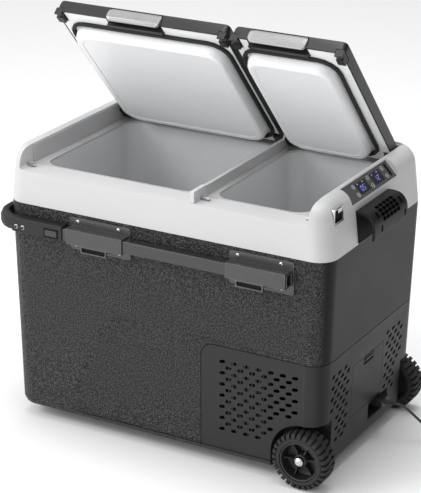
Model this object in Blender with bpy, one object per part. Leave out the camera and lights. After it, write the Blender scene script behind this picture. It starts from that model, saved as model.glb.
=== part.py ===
"""Compressor cooler fridge: two cold compartments under two rear-hinged lids, a telescopic tow handle at one
end, a pair of wheels at the other, and a compressor bay behind a vented cover.

Lengths are in metres. The model is laid out about the seam between the light top frame and the dark body
(z = 0 there, x along the long side, the tow handle at -x, the front at -y) and is moved onto the ground at the end.
"""

import math

import bmesh
import bpy
from mathutils import Matrix, Vector

for old in list(bpy.data.objects):
    bpy.data.objects.remove(old, do_unlink=True)

# ---------------------------------------------------------------- driving dimensions
GAP = 0.0003                # running gap between neighbouring pieces
GROUND = 0.4300             # height of the seam above the floor
DX = -0.0058                # brings the middle of the object onto x = 0

HALF_X, HALF_Y = 0.3300, 0.19875          # body at the seam
LEAN_L, LEAN_R, LEAN_F = 0.025, 0.038, 0.006   # draft per unit of depth: left, right, front
BODY_BOTTOM = -0.4085
CORNER_R = 0.036
SHELL_T = 0.0035

RIM_Z = 0.0630              # front strip of the frame
DECK_Z = 0.0635             # grey deck inside the frame
TOP_Z = 0.1000              # top of the side walls
WALL_L, WALL_R = -0.2980, 0.2890          # inner faces of the side walls
LEAN_TOP = 0.12             # the frame leans in by this much per unit of height

TUB_L = (-0.2780, 0.0480, -0.1485, 0.1590, -0.3545)   # x0, x1, y0, y1, floor
TUB_R = (0.0780, 0.2620, -0.1485, 0.1590, -0.1480)
TUB_T = 0.0022
TUB_R_CORNER = 0.030

COVER_X, COVER_Z = 0.0800, -0.1940        # left edge and top edge of the compressor cover
COVER_T = 0.0030

WHEEL_X, WHEEL_Y, WHEEL_Z = 0.2860, 0.1900, -0.3760
WHEEL_R, WHEEL_HALF_W = 0.0540, 0.0220
WELL_R = 0.0635

HINGE_Y, HINGE_Z = 0.1680, 0.0840         # rear pins, the axis of both lids
LID_OPEN = math.radians(47.9)             # rest pose, measured from closed
LID_FRONT_Y, LID_REAR_Y = -0.1780, 0.1785
LID_Z0, LID_Z1 = 0.0715, 0.0970
LID_LX = (-0.2945, 0.0585)
LID_RX = (0.0675, 0.2855)
FRONT_PIN_Y, FRONT_PIN_Z = -0.1700, 0.0665
PIN_R = 0.0030

TUBE_X = (-0.2615, 0.2620)
TUBE_Y = (-0.2209, -0.2020)
TUBE_Z = (-0.0468, -0.0242)

PANEL_P0 = (0.2955, 0.0990)               # sloped flat for the control panel: upper edge
PANEL_P1 = (0.3215, 0.0715)               # and lower edge, as (x, z)
PANEL_Y = (-0.0920, 0.0900)

PLUG_Y, PLUG_Z = 0.0580, -0.3585          # axis of the 12 V plug, along x
CORD_R = 0.0025


# ---------------------------------------------------------------- materials
def material(name, rgb, metallic=0.0, rough=0.6):
    mat = bpy.data.materials.new(name)
    mat.use_nodes = True
    bsdf = mat.node_tree.nodes["Principled BSDF"]
    bsdf.inputs["Base Color"].default_value = (*rgb, 1.0)
    bsdf.inputs["Metallic"].default_value = metallic
    bsdf.inputs["Roughness"].default_value = rough
    mat.diffuse_color = (*rgb, 1.0)
    return mat


# ---------------------------------------------------------------- mesh helpers
def ring_rr(x0, x1, y0, y1, r, n=5):
    """Rounded rectangle as a list of 2-D points, counter-clockwise."""
    r = max(min(r, (x1 - x0) / 2 - 1e-4, (y1 - y0) / 2 - 1e-4), 1e-4)
    pts = []
    for cx, cy, a0 in ((x1 - r, y1 - r, 0), (x0 + r, y1 - r, 90), (x0 + r, y0 + r, 180), (x1 - r, y0 + r, 270)):
        for i in range(n + 1):
            a = math.radians(a0 + 90 * i / n)
            pts.append((cx + r * math.cos(a), cy + r * math.sin(a)))
    return pts


def fix(bm):
    bmesh.ops.remove_doubles(bm, verts=bm.verts, dist=2e-6)
    bmesh.ops.dissolve_degenerate(bm, dist=1e-6, edges=bm.edges)
    bmesh.ops.recalc_face_normals(bm, faces=bm.faces)
    return bm


def loft(rings):
    """Closed solid through rings of 3-D points, all with the same number of points."""
    bm = bmesh.new()
    rows = [[bm.verts.new(p) for p in ring] for ring in rings]
    n = len(rows[0])
    for a, b in zip(rows, rows[1:]):
        for i in range(n):
            j = (i + 1) % n
            bm.faces.new((a[i], a[j], b[j], b[i]))
    bm.faces.new(list(reversed(rows[0])))
    bm.faces.new(rows[-1])
    bmesh.ops.recalc_face_normals(bm, faces=bm.faces)
    return bm


def torus_like(rings):
    """Closed solid through a closed loop of rings."""
    bm = bmesh.new()
    rows = [[bm.verts.new(p) for p in ring] for ring in rings]
    n = len(rows[0])
    for k, a in enumerate(rows):
        b = rows[(k + 1) % len(rows)]
        for i in range(n):
            j = (i + 1) % n
            bm.faces.new((a[i], a[j], b[j], b[i]))
    bmesh.ops.recalc_face_normals(bm, faces=bm.faces)
    return bm


def place(u, v, t, axis):
    return {"x": (t, u, v), "y": (u, t, v), "z": (u, v, t)}[axis]


def prism(poly, axis, a, b):
    """Polygon of the two other axes, pushed along one axis from a to b."""
    return loft([[place(u, v, a, axis) for u, v in poly], [place(u, v, b, axis) for u, v in poly]])


def box(x0, x1, y0, y1, z0, z1):
    return prism([(x0, y0), (x1, y0), (x1, y1), (x0, y1)], "z", z0, z1)


def rbox(x0, x1, y0, y1, z0, z1, r, axis="z", n=3, edge=0.0):
    """Box with rounded corners around one axis, and a small chamfer at both ends."""
    if axis == "z":
        lo, hi, rect = z0, z1, (x0, x1, y0, y1)
    elif axis == "y":
        lo, hi, rect = y0, y1, (x0, x1, z0, z1)
    else:
        lo, hi, rect = x0, x1, (y0, y1, z0, z1)

    def ring(t, inset):
        a, b, c, d = rect
        return [place(u, v, t, axis) for u, v in ring_rr(a + inset, b - inset, c + inset, d - inset, r - inset, n)]

    if not edge:
        return loft([ring(lo, 0), ring(hi, 0)])
    return loft([ring(lo, edge), ring(lo + edge, 0), ring(hi - edge, 0), ring(hi, edge)])


def circle(cu, cv, r, n=24, a0=0.0):
    return [(cu + r * math.cos(a0 + 2 * math.pi * i / n), cv + r * math.sin(a0 + 2 * math.pi * i / n)) for i in range(n)]


def cyl(axis, cu, cv, r, a, b, n=24):
    return prism(circle(cu, cv, r, n), axis, a, b)


def lathe(profile, axis, cu, cv, n=32, a0=0.0):
    """Closed ring solid turned from a closed (radius, along) profile that doesn't touch its axis."""
    rings = []
    for i in range(n):
        a = a0 + 2 * math.pi * i / n
        rings.append([place(cu + r * math.cos(a), cv + r * math.sin(a), t, axis) for r, t in profile])
    return torus_like(rings)


def turned(profile, axis, cu, cv, n=24):
    """Solid turned from an open (radius, along) profile, closed at both ends by flat faces."""
    return loft([[place(u, v, t, axis) for u, v in circle(cu, cv, r, n)] for r, t in profile])


def join(*bms):
    out = bmesh.new()
    for bm in bms:
        mesh = bpy.data.meshes.new("tmp")
        bm.to_mesh(mesh)
        out.from_mesh(mesh)
        bpy.data.meshes.remove(mesh)
        bm.free()
    return out


def to_object(bm, name="tmp"):
    mesh = bpy.data.meshes.new(name)
    bm.to_mesh(mesh)
    obj = bpy.data.objects.new(name, mesh)
    bpy.context.scene.collection.objects.link(obj)
    return obj


def boolean(a, b, operation="DIFFERENCE", own=False):
    oa, ob = to_object(a), to_object(b)
    a.free()
    b.free()
    mod = oa.modifiers.new("cut", "BOOLEAN")
    mod.solver = "EXACT"
    mod.operation = operation
    mod.use_self = own
    mod.object = ob
    bpy.context.view_layer.update()
    graph = bpy.context.evaluated_depsgraph_get()
    mesh = bpy.data.meshes.new_from_object(oa.evaluated_get(graph))
    out = bmesh.new()
    out.from_mesh(mesh)
    for o in (oa, ob):
        data = o.data
        bpy.data.objects.remove(o, do_unlink=True)
        bpy.data.meshes.remove(data)
    bpy.data.meshes.remove(mesh)
    return fix(out)


def cut(a, *tools):
    for tool in tools:
        a = boolean(a, tool)
    return a


def union(a, *others):
    for other in others:
        a = boolean(a, other, "UNION")
    return a


def moved(bm, matrix):
    bmesh.ops.transform(bm, matrix=matrix, verts=bm.verts)
    return bm


def mirrored(bm):
    """The same shape on the other side of the y = 0 plane."""
    out = bm.copy()
    bmesh.ops.scale(out, vec=(1, -1, 1), verts=out.verts)
    bmesh.ops.reverse_faces(out, faces=out.faces)
    return out


def finish(name, bm, mat, pivot=None, smooth=35.0):
    shift = Vector((DX, 0.0, GROUND))
    pivot = Vector(pivot) + shift if pivot is not None else Vector((0, 0, 0))
    bmesh.ops.translate(bm, vec=shift - pivot, verts=bm.verts)
    obj = to_object(bm, name)
    bm.free()
    obj.location = pivot
    obj.data.materials.append(mat)
    obj.data.polygons.foreach_set("use_smooth", [True] * len(obj.data.polygons))
    obj.data.set_sharp_from_angle(angle=math.radians(smooth))
    return obj


# ---------------------------------------------------------------- dark body
def front_y(z):
    return -HALF_Y + LEAN_F * (-z)


def right_x(z):
    return HALF_X - LEAN_R * (-z)


def body_ring(z, inset, at=None):
    at = z if at is None else at
    return [
        (x, y, z)
        for x, y in ring_rr(
            -HALF_X + LEAN_L * (-at) + inset,
            right_x(at) - inset,
            front_y(at) + inset,
            HALF_Y - inset,
            CORNER_R - min(inset, 0.02),
            5,
        )
    ]


def body_solid():
    return loft(
        [
            body_ring(BODY_BOTTOM, 0.0120),
            body_ring(BODY_BOTTOM + 0.0035, 0.0045),
            body_ring(BODY_BOTTOM + 0.0120, 0.0),
            body_ring(0.0, 0.0),
        ]
    )


def set_in_field():
    """Cutter for the shallow set-in field on the front: a level upper edge that bends down at its left end."""
    outline = [
        (-0.1990, -0.4200), (-0.1920, -0.3710), (-0.1800, -0.3270), (-0.1570, -0.2710), (-0.1385, -0.2270),
        (-0.1215, -0.1990), (-0.1060, -0.1860), (-0.0850, -0.1810), (0.0610, -0.1825), (0.2750, -0.1845),
        (0.2900, -0.1990), (0.2900, -0.4200),
    ]
    inner = [
        (-0.1800, -0.4200), (-0.1725, -0.3700), (-0.1610, -0.3250), (-0.1385, -0.2695), (-0.1210, -0.2275),
        (-0.1085, -0.2050), (-0.0985, -0.1935), (-0.0850, -0.1870), (0.0610, -0.1880), (0.2690, -0.1900),
        (0.2830, -0.2030), (0.2830, -0.4200),
    ]
    return loft(
        [
            [(x, front_y(z) - 0.0100, z) for x, z in outline],
            [(x, front_y(z) + 0.0001, z) for x, z in outline],
            [(x, front_y(z) + 0.0021, z) for x, z in inner],
        ]
    )


def bay_region(grow, z_low=-0.60):
    """Outline of the compressor bay seen from the front, with its rounded upper left corner."""
    r = 0.025 + grow
    x0, z1 = COVER_X - grow, COVER_Z + grow
    pts = [(x0, z_low), (0.60, z_low), (0.60, z1)]
    for i in range(7):
        a = math.radians(90 + 15 * i)
        pts.append((x0 + r + r * math.cos(a), z1 - r + r * math.sin(a)))
    return prism(pts, "y", -0.40, 0.40)


outer = cut(body_solid(), boolean(set_in_field(), box(-0.4, 0.4, -0.4, 0.0, BODY_BOTTOM + 0.0125, 0.0), "INTERSECT"))
outer_copy = outer.copy()

void = loft(
    [
        body_ring(BODY_BOTTOM + 0.0035, 0.0150),
        body_ring(BODY_BOTTOM + 0.0070, 0.0080),
        body_ring(BODY_BOTTOM + 0.0150, SHELL_T),
        body_ring(0.0100, SHELL_T, 0.0),
    ]
)
void = cut(void, bay_region(0.0030))
shell = cut(outer, void, bay_region(0.0))
finish("outer_shell", shell, material("shell_black", (0.075, 0.075, 0.078), 0.0, 0.62))

# ---------------------------------------------------------------- compressor cover, hatch
def well_poly(grow):
    r = WELL_R + grow
    pts = [(WHEEL_X - r, -0.60), (WHEEL_X - r, WHEEL_Z)]
    for i in range(1, 9):
        a = math.radians(180 - 90 * i / 8)
        pts.append((WHEEL_X + r * math.cos(a), WHEEL_Z + r * math.sin(a)))
    pts += [(0.60, WHEEL_Z + r), (0.60, -0.60)]
    return pts


def wells(grow):
    inner = 0.1450 - grow
    one = prism(well_poly(grow), "y", -0.40, -inner)
    return join(one, mirrored(one.copy()))


def cover_void(e=0.0):
    tool = loft(
        [
            body_ring(BODY_BOTTOM - 0.0200, 0.0160 + e, BODY_BOTTOM),
            body_ring(BODY_BOTTOM, 0.0160 + e),
            body_ring(BODY_BOTTOM + 0.0035, 0.0078 + e),
            body_ring(BODY_BOTTOM + 0.0120, COVER_T + e),
            body_ring(-0.1200, COVER_T + e),
        ]
    )
    return cut(tool, box(-0.5, COVER_X - 0.02, -0.5, 0.5, -0.6, 0.2))


HATCH_Y, HATCH_Z = (-0.0700, 0.0600), (-0.3430, -0.2385)


def slanted_hole(c1, c2, axis, lo, hi, tilt):
    """Long six-sided vent hole, 13.4 x 6.4 mm, tilted in its own plane."""
    pts = []
    for u, v in ((-0.0067, 0.0), (-0.0042, -0.0032), (0.0042, -0.0032), (0.0067, 0.0), (0.0042, 0.0032), (-0.0042, 0.0032)):
        pts.append((c1 + u * math.cos(tilt) - v * math.sin(tilt), c2 + u * math.sin(tilt) + v * math.cos(tilt)))
    return prism(pts, axis, lo, hi)


cover = boolean(outer_copy, bay_region(-0.0013), "INTERSECT")
cover = cut(cover, cover_void(), wells(0.0))

holes = []
for col in range(7):
    for row in range(7):
        for sx, sz in ((0.0, 0.0), (0.01205, -0.0105)):
            x = 0.1245 + 0.0241 * col + sx
            z = -0.2238 - 0.0220 * row + sz
            near_wheel = math.hypot(x - WHEEL_X, z - WHEEL_Z) < WELL_R + 0.014 and z < -0.28
            if x > 0.277 or z < -0.3590 or near_wheel:
                continue
            holes.append(slanted_hole(x, z, "y", -0.26, -0.17, math.radians(10)))
cover = boolean(cover, join(*holes))
holes = []
for y_first, cols in ((-0.1490, 3), (0.0765, 3)):
    for col in range(cols):
        for row in range(7):
            for sy, sz in ((0.0, 0.0), (0.01205, -0.0110)):
                y = y_first + 0.0241 * col + sy
                z = -0.2275 - 0.0220 * row + sz
                if z < -0.3620 or (y > 0.115 and z < -0.296) or (y > 0.07 and y < 0.105 and z < -0.340):
                    continue
                if y < -0.125 and z < -0.300:
                    continue
                holes.append(slanted_hole(y, z, "x", 0.26, 0.36, math.radians(14)))
cover = boolean(cover, join(*holes))
cover = cut(
    cover,
    box(0.25, 0.40, HATCH_Y[0], HATCH_Y[1], HATCH_Z[0], HATCH_Z[1]),
    box(0.25, 0.40, 0.0100, 0.0950, -0.3825, -0.3470),
)
finish("compressor_cover", cover, material("cover_black", (0.055, 0.055, 0.058), 0.0, 0.5))

hatch_block = box(
    0.25, 0.40, HATCH_Y[0] + 0.0006, HATCH_Y[1] - 0.0006, HATCH_Z[0] + 0.0006, HATCH_Z[1] - 0.0006
)
hatch = boolean(body_solid(), hatch_block, "INTERSECT")
hatch = cut(hatch, loft([body_ring(-0.40, COVER_T), body_ring(-0.12, COVER_T)]))
LATCH_Y, LATCH_Z = (-0.0235, 0.0175), (-0.2545, -0.2380)
hatch = cut(hatch, box(0.25, 0.40, LATCH_Y[0], LATCH_Y[1], LATCH_Z[0], LATCH_Z[1] + 0.02))
HATCH_AXIS = (0.3166, -0.0050, -0.3420)
finish("battery_hatch", hatch, material("hatch_black", (0.055, 0.055, 0.058), 0.0, 0.5), HATCH_AXIS)

lx = right_x(-0.2460)
latch = union(
    rbox(lx - 0.0029, lx - 0.0003, LATCH_Y[0] + 0.0005, LATCH_Y[1] - 0.0005, LATCH_Z[0] + 0.0036, LATCH_Z[1] - 0.0030, 0.0015, "x"),
    rbox(lx - 0.0010, lx + 0.0012, LATCH_Y[0] + 0.0045, LATCH_Y[1] - 0.0045, LATCH_Z[0] + 0.0052, LATCH_Z[1] - 0.0066, 0.0010, "x"),
)
finish("hatch_latch", latch, material("latch_black", (0.045, 0.045, 0.048), 0.0, 0.45), (lx, -0.003, -0.246))

# ---------------------------------------------------------------- battery pocket and 12 V inlet, one moulding
bay = union(
    box(0.2280, 0.3125, -0.0745, 0.0645, -0.3455, -0.2340),
    box(0.2918, 0.3120, 0.0105, 0.0945, -0.3820, -0.3445),
    box(0.2918, 0.3150, 0.0105, 0.0945, -0.3820, -0.3475),
)
bay = cut(
    bay,
    box(0.2302, 0.40, -0.0723, 0.0623, -0.3432, -0.2362),
    box(0.2943, 0.40, 0.0125, 0.0925, -0.3800, -0.3492),
)
bay = union(bay, cyl("x", PLUG_Y, PLUG_Z, 0.0075, 0.2930, 0.3010, 14))
bay = cut(bay, cyl("x", PLUG_Y, PLUG_Z, 0.0049, 0.2960, 0.32, 12))
finish("service_bay", bay, material("bay_black", (0.03, 0.03, 0.032), 0.0, 0.6))

# ---------------------------------------------------------------- insulation
def frame_x0(z):
    return -HALF_X + LEAN_TOP * z


def frame_x1(z):
    return HALF_X - LEAN_TOP * z


def tub_ring(spec, z, grow, inset):
    x0, x1, y0, y1, _ = spec
    return [
        (x, y, z)
        for x, y in ring_rr(
            x0 - grow + inset, x1 + grow - inset, y0 - grow + inset, y1 + grow - inset, TUB_R_CORNER + grow, 4
        )
    ]


def tub_solid(spec, grow, z_top):
    floor = spec[4] - grow

    def draft(z):
        return 0.030 * (0.06 - z)

    return loft(
        [
            tub_ring(spec, floor, grow, draft(floor) + 0.0110),
            tub_ring(spec, floor + 0.0032, grow, draft(floor) + 0.0032),
            tub_ring(spec, floor + 0.0110, grow, draft(floor + 0.0110)),
            tub_ring(spec, z_top, grow, draft(z_top)),
        ]
    )


inset = SHELL_T + 0.0006
foam = loft(
    [
        body_ring(BODY_BOTTOM + 0.0042, 0.0165),
        body_ring(BODY_BOTTOM + 0.0078, 0.0090),
        body_ring(BODY_BOTTOM + 0.0158, inset),
        body_ring(0.0, inset),
        [
            (x, y, 0.0570)
            for x, y in ring_rr(
                frame_x0(0.057) + inset, frame_x1(0.057) - inset, -HALF_Y + inset, HALF_Y - inset, CORNER_R - inset, 5
            )
        ],
    ]
)
foam = cut(
    foam,
    bay_region(0.0036),
    tub_solid(TUB_L, TUB_T + 0.0005, 0.10),
    tub_solid(TUB_R, TUB_T + 0.0005, 0.10),
)
finish("insulation_foam", foam, material("foam_yellow", (0.72, 0.66, 0.42), 0.0, 0.9))

for name, spec in (("left_tub", TUB_L), ("right_tub", TUB_R)):
    tub = cut(tub_solid(spec, TUB_T, 0.0600), tub_solid(spec, 0.0, 0.08))
    finish(name, tub, material(name + "_grey", (0.42, 0.43, 0.44), 0.0, 0.5))

# ---------------------------------------------------------------- light top frame
R_RIGHT, R_FRONT, R_REAR, R_LEFT = 0.026, 0.030, 0.006, 0.004


def round_over(z, radius):
    t = z - (TOP_Z - radius)
    return 0.0 if t <= 0 else radius - math.sqrt(max(radius * radius - t * t, 0.0))


def frame_ring(z, inset=0.0):
    return [
        (x, y, z)
        for x, y in ring_rr(
            frame_x0(z) + round_over(z, R_LEFT) + inset,
            frame_x1(z) - round_over(z, R_RIGHT) - inset,
            -HALF_Y + round_over(z, R_FRONT) + inset,
            HALF_Y - round_over(z, R_REAR) - inset,
            CORNER_R - inset,
            6,
        )
    ]


heights = (GAP, 0.0700, 0.0790, 0.0870, 0.0930, 0.0975, 0.1000)
frame = loft([frame_ring(z) for z in heights])

r = 0.006
notch = [(WALL_L, 0.20), (WALL_L, RIM_Z + r)]
for i in range(1, 5):
    a = math.radians(180 + 90 * i / 4)
    notch.append((WALL_L + r + r * math.cos(a), RIM_Z + r + r * math.sin(a)))
for i in range(0, 5):
    a = math.radians(270 + 90 * i / 4)
    notch.append((WALL_R - r + r * math.cos(a), RIM_Z + r + r * math.sin(a)))
notch.append((WALL_R, 0.20))
frame = cut(frame, prism(notch, "y", -0.40, 0.1887))
frame = cut(frame, box(WALL_L, WALL_R, -0.1520, 0.1887, 0.0600, 0.20))
frame = cut(
    frame,
    loft(
        [
            [
                (x, y, z)
                for x, y in ring_rr(
                    frame_x0(z) + SHELL_T, frame_x1(z) - SHELL_T, -HALF_Y + SHELL_T, HALF_Y - SHELL_T,
                    CORNER_R - SHELL_T, 6,
                )
            ]
            for z in (-0.010, 0.0575)
        ]
    ),
)
frame = cut(frame, prism(ring_rr(-0.2812, 0.2652, -0.1513, 0.1622, 0.032, 4), "z", 0.02, 0.10))
frame = cut(
    frame,
    prism([(WALL_R + 0.0035, 0.03), (0.3190, 0.03), (0.3190, 0.0560), (0.3130, 0.0660), (0.2960, 0.0830), (WALL_R + 0.0035, 0.0830)], "y", -0.150, 0.160),
    prism([(-0.3235, 0.03), (WALL_L - 0.0035, 0.03), (WALL_L - 0.0035, 0.0880), (-0.3160, 0.0880)], "y", -0.150, 0.160),
)
# finger notches behind the rear latches
REAR_NOTCHES = ((-0.1870, -0.0720), (0.1000, 0.2170))
frame = cut(frame, *[rbox(lo, hi, 0.1600, 0.2600, RIM_Z + 0.0007, 0.2, 0.008, "y", 3) for lo, hi in REAR_NOTCHES])
frame = cut(frame, *[box(lo, hi, 0.1590, 0.1860, 0.0585, 0.07) for lo, hi in REAR_NOTCHES])
# sloped flat for the control panel
px, pz = PANEL_P1[0] - PANEL_P0[0], PANEL_P1[1] - PANEL_P0[1]
plen = math.hypot(px, pz)
du, dn = (px / plen, pz / plen), (-pz / plen, px / plen)
pm = ((PANEL_P0[0] + PANEL_P1[0]) / 2, (PANEL_P0[1] + PANEL_P1[1]) / 2)


def on_slope(u, n):
    return (pm[0] + du[0] * u + dn[0] * n, pm[1] + du[1] * u + dn[1] * n)


def slope_box(u0, u1, y0, y1, n0, n1, r=0.0, seg=3):
    rings = []
    for n in (n0, n1):
        if r:
            base = ring_rr(u0, u1, y0, y1, r, seg)
        else:
            base = [(u0, y0), (u1, y0), (u1, y1), (u0, y1)]
        rings.append([(on_slope(u, n)[0], y, on_slope(u, n)[1]) for u, y in base])
    return loft(rings)


def slope_cyl(u, y, radius, n0, n1, seg=20):
    rings = []
    for n in (n0, n1):
        rings.append([(on_slope(a, n)[0], b, on_slope(a, n)[1]) for a, b in circle(u, y, radius, seg)])
    return loft(rings)


PANEL_HALF = 0.0172
frame = cut(
    frame,
    slope_box(-0.08, 0.08, PANEL_Y[0] - 0.0035, PANEL_Y[1] + 0.0035, 0.0, 0.06),
    slope_box(-PANEL_HALF - GAP, PANEL_HALF + GAP, PANEL_Y[0] - GAP, PANEL_Y[1] + GAP, -0.0050, 0.02),
)
# post between the two lids at the front, bottle opener pocket
frame = union(frame, rbox(0.0592, 0.0668, -0.1965, -0.1523, 0.0600, 0.0845, 0.0025, "x", 3))
opener_x = frame_x1(0.0740)
frame = cut(frame, rbox(opener_x - 0.0060, 0.40, -0.1670, -0.1290, 0.0590, 0.0890, 0.003, "x", 2))
for y, z in ((FRONT_PIN_Y, FRONT_PIN_Z), (HINGE_Y, HINGE_Z)):
    frame = cut(
        frame,
        cyl("x", y, z, PIN_R + 0.0005, WALL_L - 0.0042, WALL_L + 0.01, 10),
        cyl("x", y, z, PIN_R + 0.0005, WALL_R - 0.01, WALL_R + 0.0042, 10),
    )
frame = cut(frame, cyl("x", FRONT_PIN_Y, FRONT_PIN_Z, PIN_R + 0.0005, 0.050, 0.080, 10))
finish("top_frame", frame, material("frame_light", (0.72, 0.73, 0.74), 0.0, 0.42))

opener = cut(
    rbox(opener_x - 0.0055, opener_x + 0.0012, -0.1665, -0.1295, 0.0595, 0.0885, 0.003, "x", 2),
    rbox(opener_x - 0.0040, 0.40, -0.1635, -0.1325, 0.0625, 0.0855, 0.002, "x", 2),
)
opener = union(opener, box(opener_x - 0.0045, opener_x + 0.0035, -0.1560, -0.1400, 0.0800, 0.0870))
finish("bottle_opener", opener, material("opener_chrome", (0.72, 0.72, 0.74), 1.0, 0.2))

# ---------------------------------------------------------------- grey deck with the divider
deck = rbox(WALL_L + GAP, WALL_R - GAP, -0.1517, 0.1884, 0.0603, DECK_Z, 0.004)
deck = union(
    deck,
    box(WALL_L + GAP, WALL_L + 0.0023, -0.1500, 0.1884, 0.0610, 0.0975),
    box(WALL_R - 0.0023, WALL_R - GAP, -0.1500, 0.1884, 0.0610, 0.0975),
    box(WALL_L + GAP, WALL_R - GAP, 0.1864, 0.1884, 0.0610, 0.0950),
    prism([(-0.1500, 0.0610), (0.1875, 0.0610), (0.1875, 0.0910), (0.1570, 0.0910), (0.1490, 0.0830), (-0.1500, 0.0830)], "x", 0.0595, 0.0665),
)
for spec in (TUB_L, TUB_R):
    deck = cut(deck, prism(ring_rr(spec[0], spec[1], spec[2], spec[3], TUB_R_CORNER, 4), "z", 0.02, 0.0660))
for a, b in ((-0.1840, -0.0750), (0.1030, 0.2140)):
    deck = cut(deck, rbox(a - 0.0020, b + 0.0020, 0.1610, 0.1855, 0.02, 0.08, 0.004))
deck = cut(deck, cyl("x", HINGE_Y, HINGE_Z, PIN_R + 0.0005, -0.32, 0.32, 10))
deck = cut(deck, *[rbox(lo, hi, 0.1858, 0.2600, RIM_Z + 0.0007, 0.2, 0.008, "y", 3) for lo, hi in REAR_NOTCHES])
finish("inner_deck", deck, material("deck_grey", (0.46, 0.47, 0.48), 0.0, 0.5))

# ---------------------------------------------------------------- pins for the lids
def pin(x0, x1, y, z):
    return turned([(PIN_R - 0.0005, x0), (PIN_R, x0 + 0.0005), (PIN_R, x1 - 0.0005), (PIN_R - 0.0005, x1)], "x", y, z, 10)


for end, y, z in (("front", FRONT_PIN_Y, FRONT_PIN_Z), ("rear", HINGE_Y, HINGE_Z)):
    for side, x0, x1 in (("left", WALL_L - 0.0038, -0.2800), ("middle", 0.0445, 0.0840), ("right", 0.2715, WALL_R + 0.0038)):
        name = end + "_pin_" + side
        finish(name, pin(x0, x1, y, z), material(name + "_chrome", (0.75, 0.75, 0.77), 1.0, 0.18), (0.5 * (x0 + x1), y, z))

# ---------------------------------------------------------------- lids
def opened(bm):
    """Turns a piece modelled closed about the rear pins into the rest pose."""
    to = Matrix.Translation((0, HINGE_Y, HINGE_Z))
    return moved(bm, to @ Matrix.Rotation(-LID_OPEN, 4, "X") @ to.inverted())


def lid_ring(x0, x1, z, inset, r=0.010):
    return [(x, y, z) for x, y in ring_rr(x0 + inset, x1 - inset, LID_FRONT_Y + inset, LID_REAR_Y - inset, r - min(inset, 0.006), 3)]


LATCHES = {"left": (-0.1840, -0.0750), "right": (0.1030, 0.2140)}
TUBS = {"left": TUB_L, "right": TUB_R}
LATCH_AXIS = (-0.1748, 0.0905)
MID_Y2 = LID_FRONT_Y + LID_REAR_Y         # y of a front feature plus y of its rear twin


def twin(bm):
    """The same feature on the lid's rear edge."""
    return moved(mirrored(bm), Matrix.Translation((0, MID_Y2, 0)))


def both(bm):
    return join(bm, twin(bm))


def open_point(x, y, z):
    c, s = math.cos(LID_OPEN), math.sin(LID_OPEN)
    dy, dz = y - HINGE_Y, z - HINGE_Z
    return (x, HINGE_Y + dy * c + dz * s, HINGE_Z - dy * s + dz * c)


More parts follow.
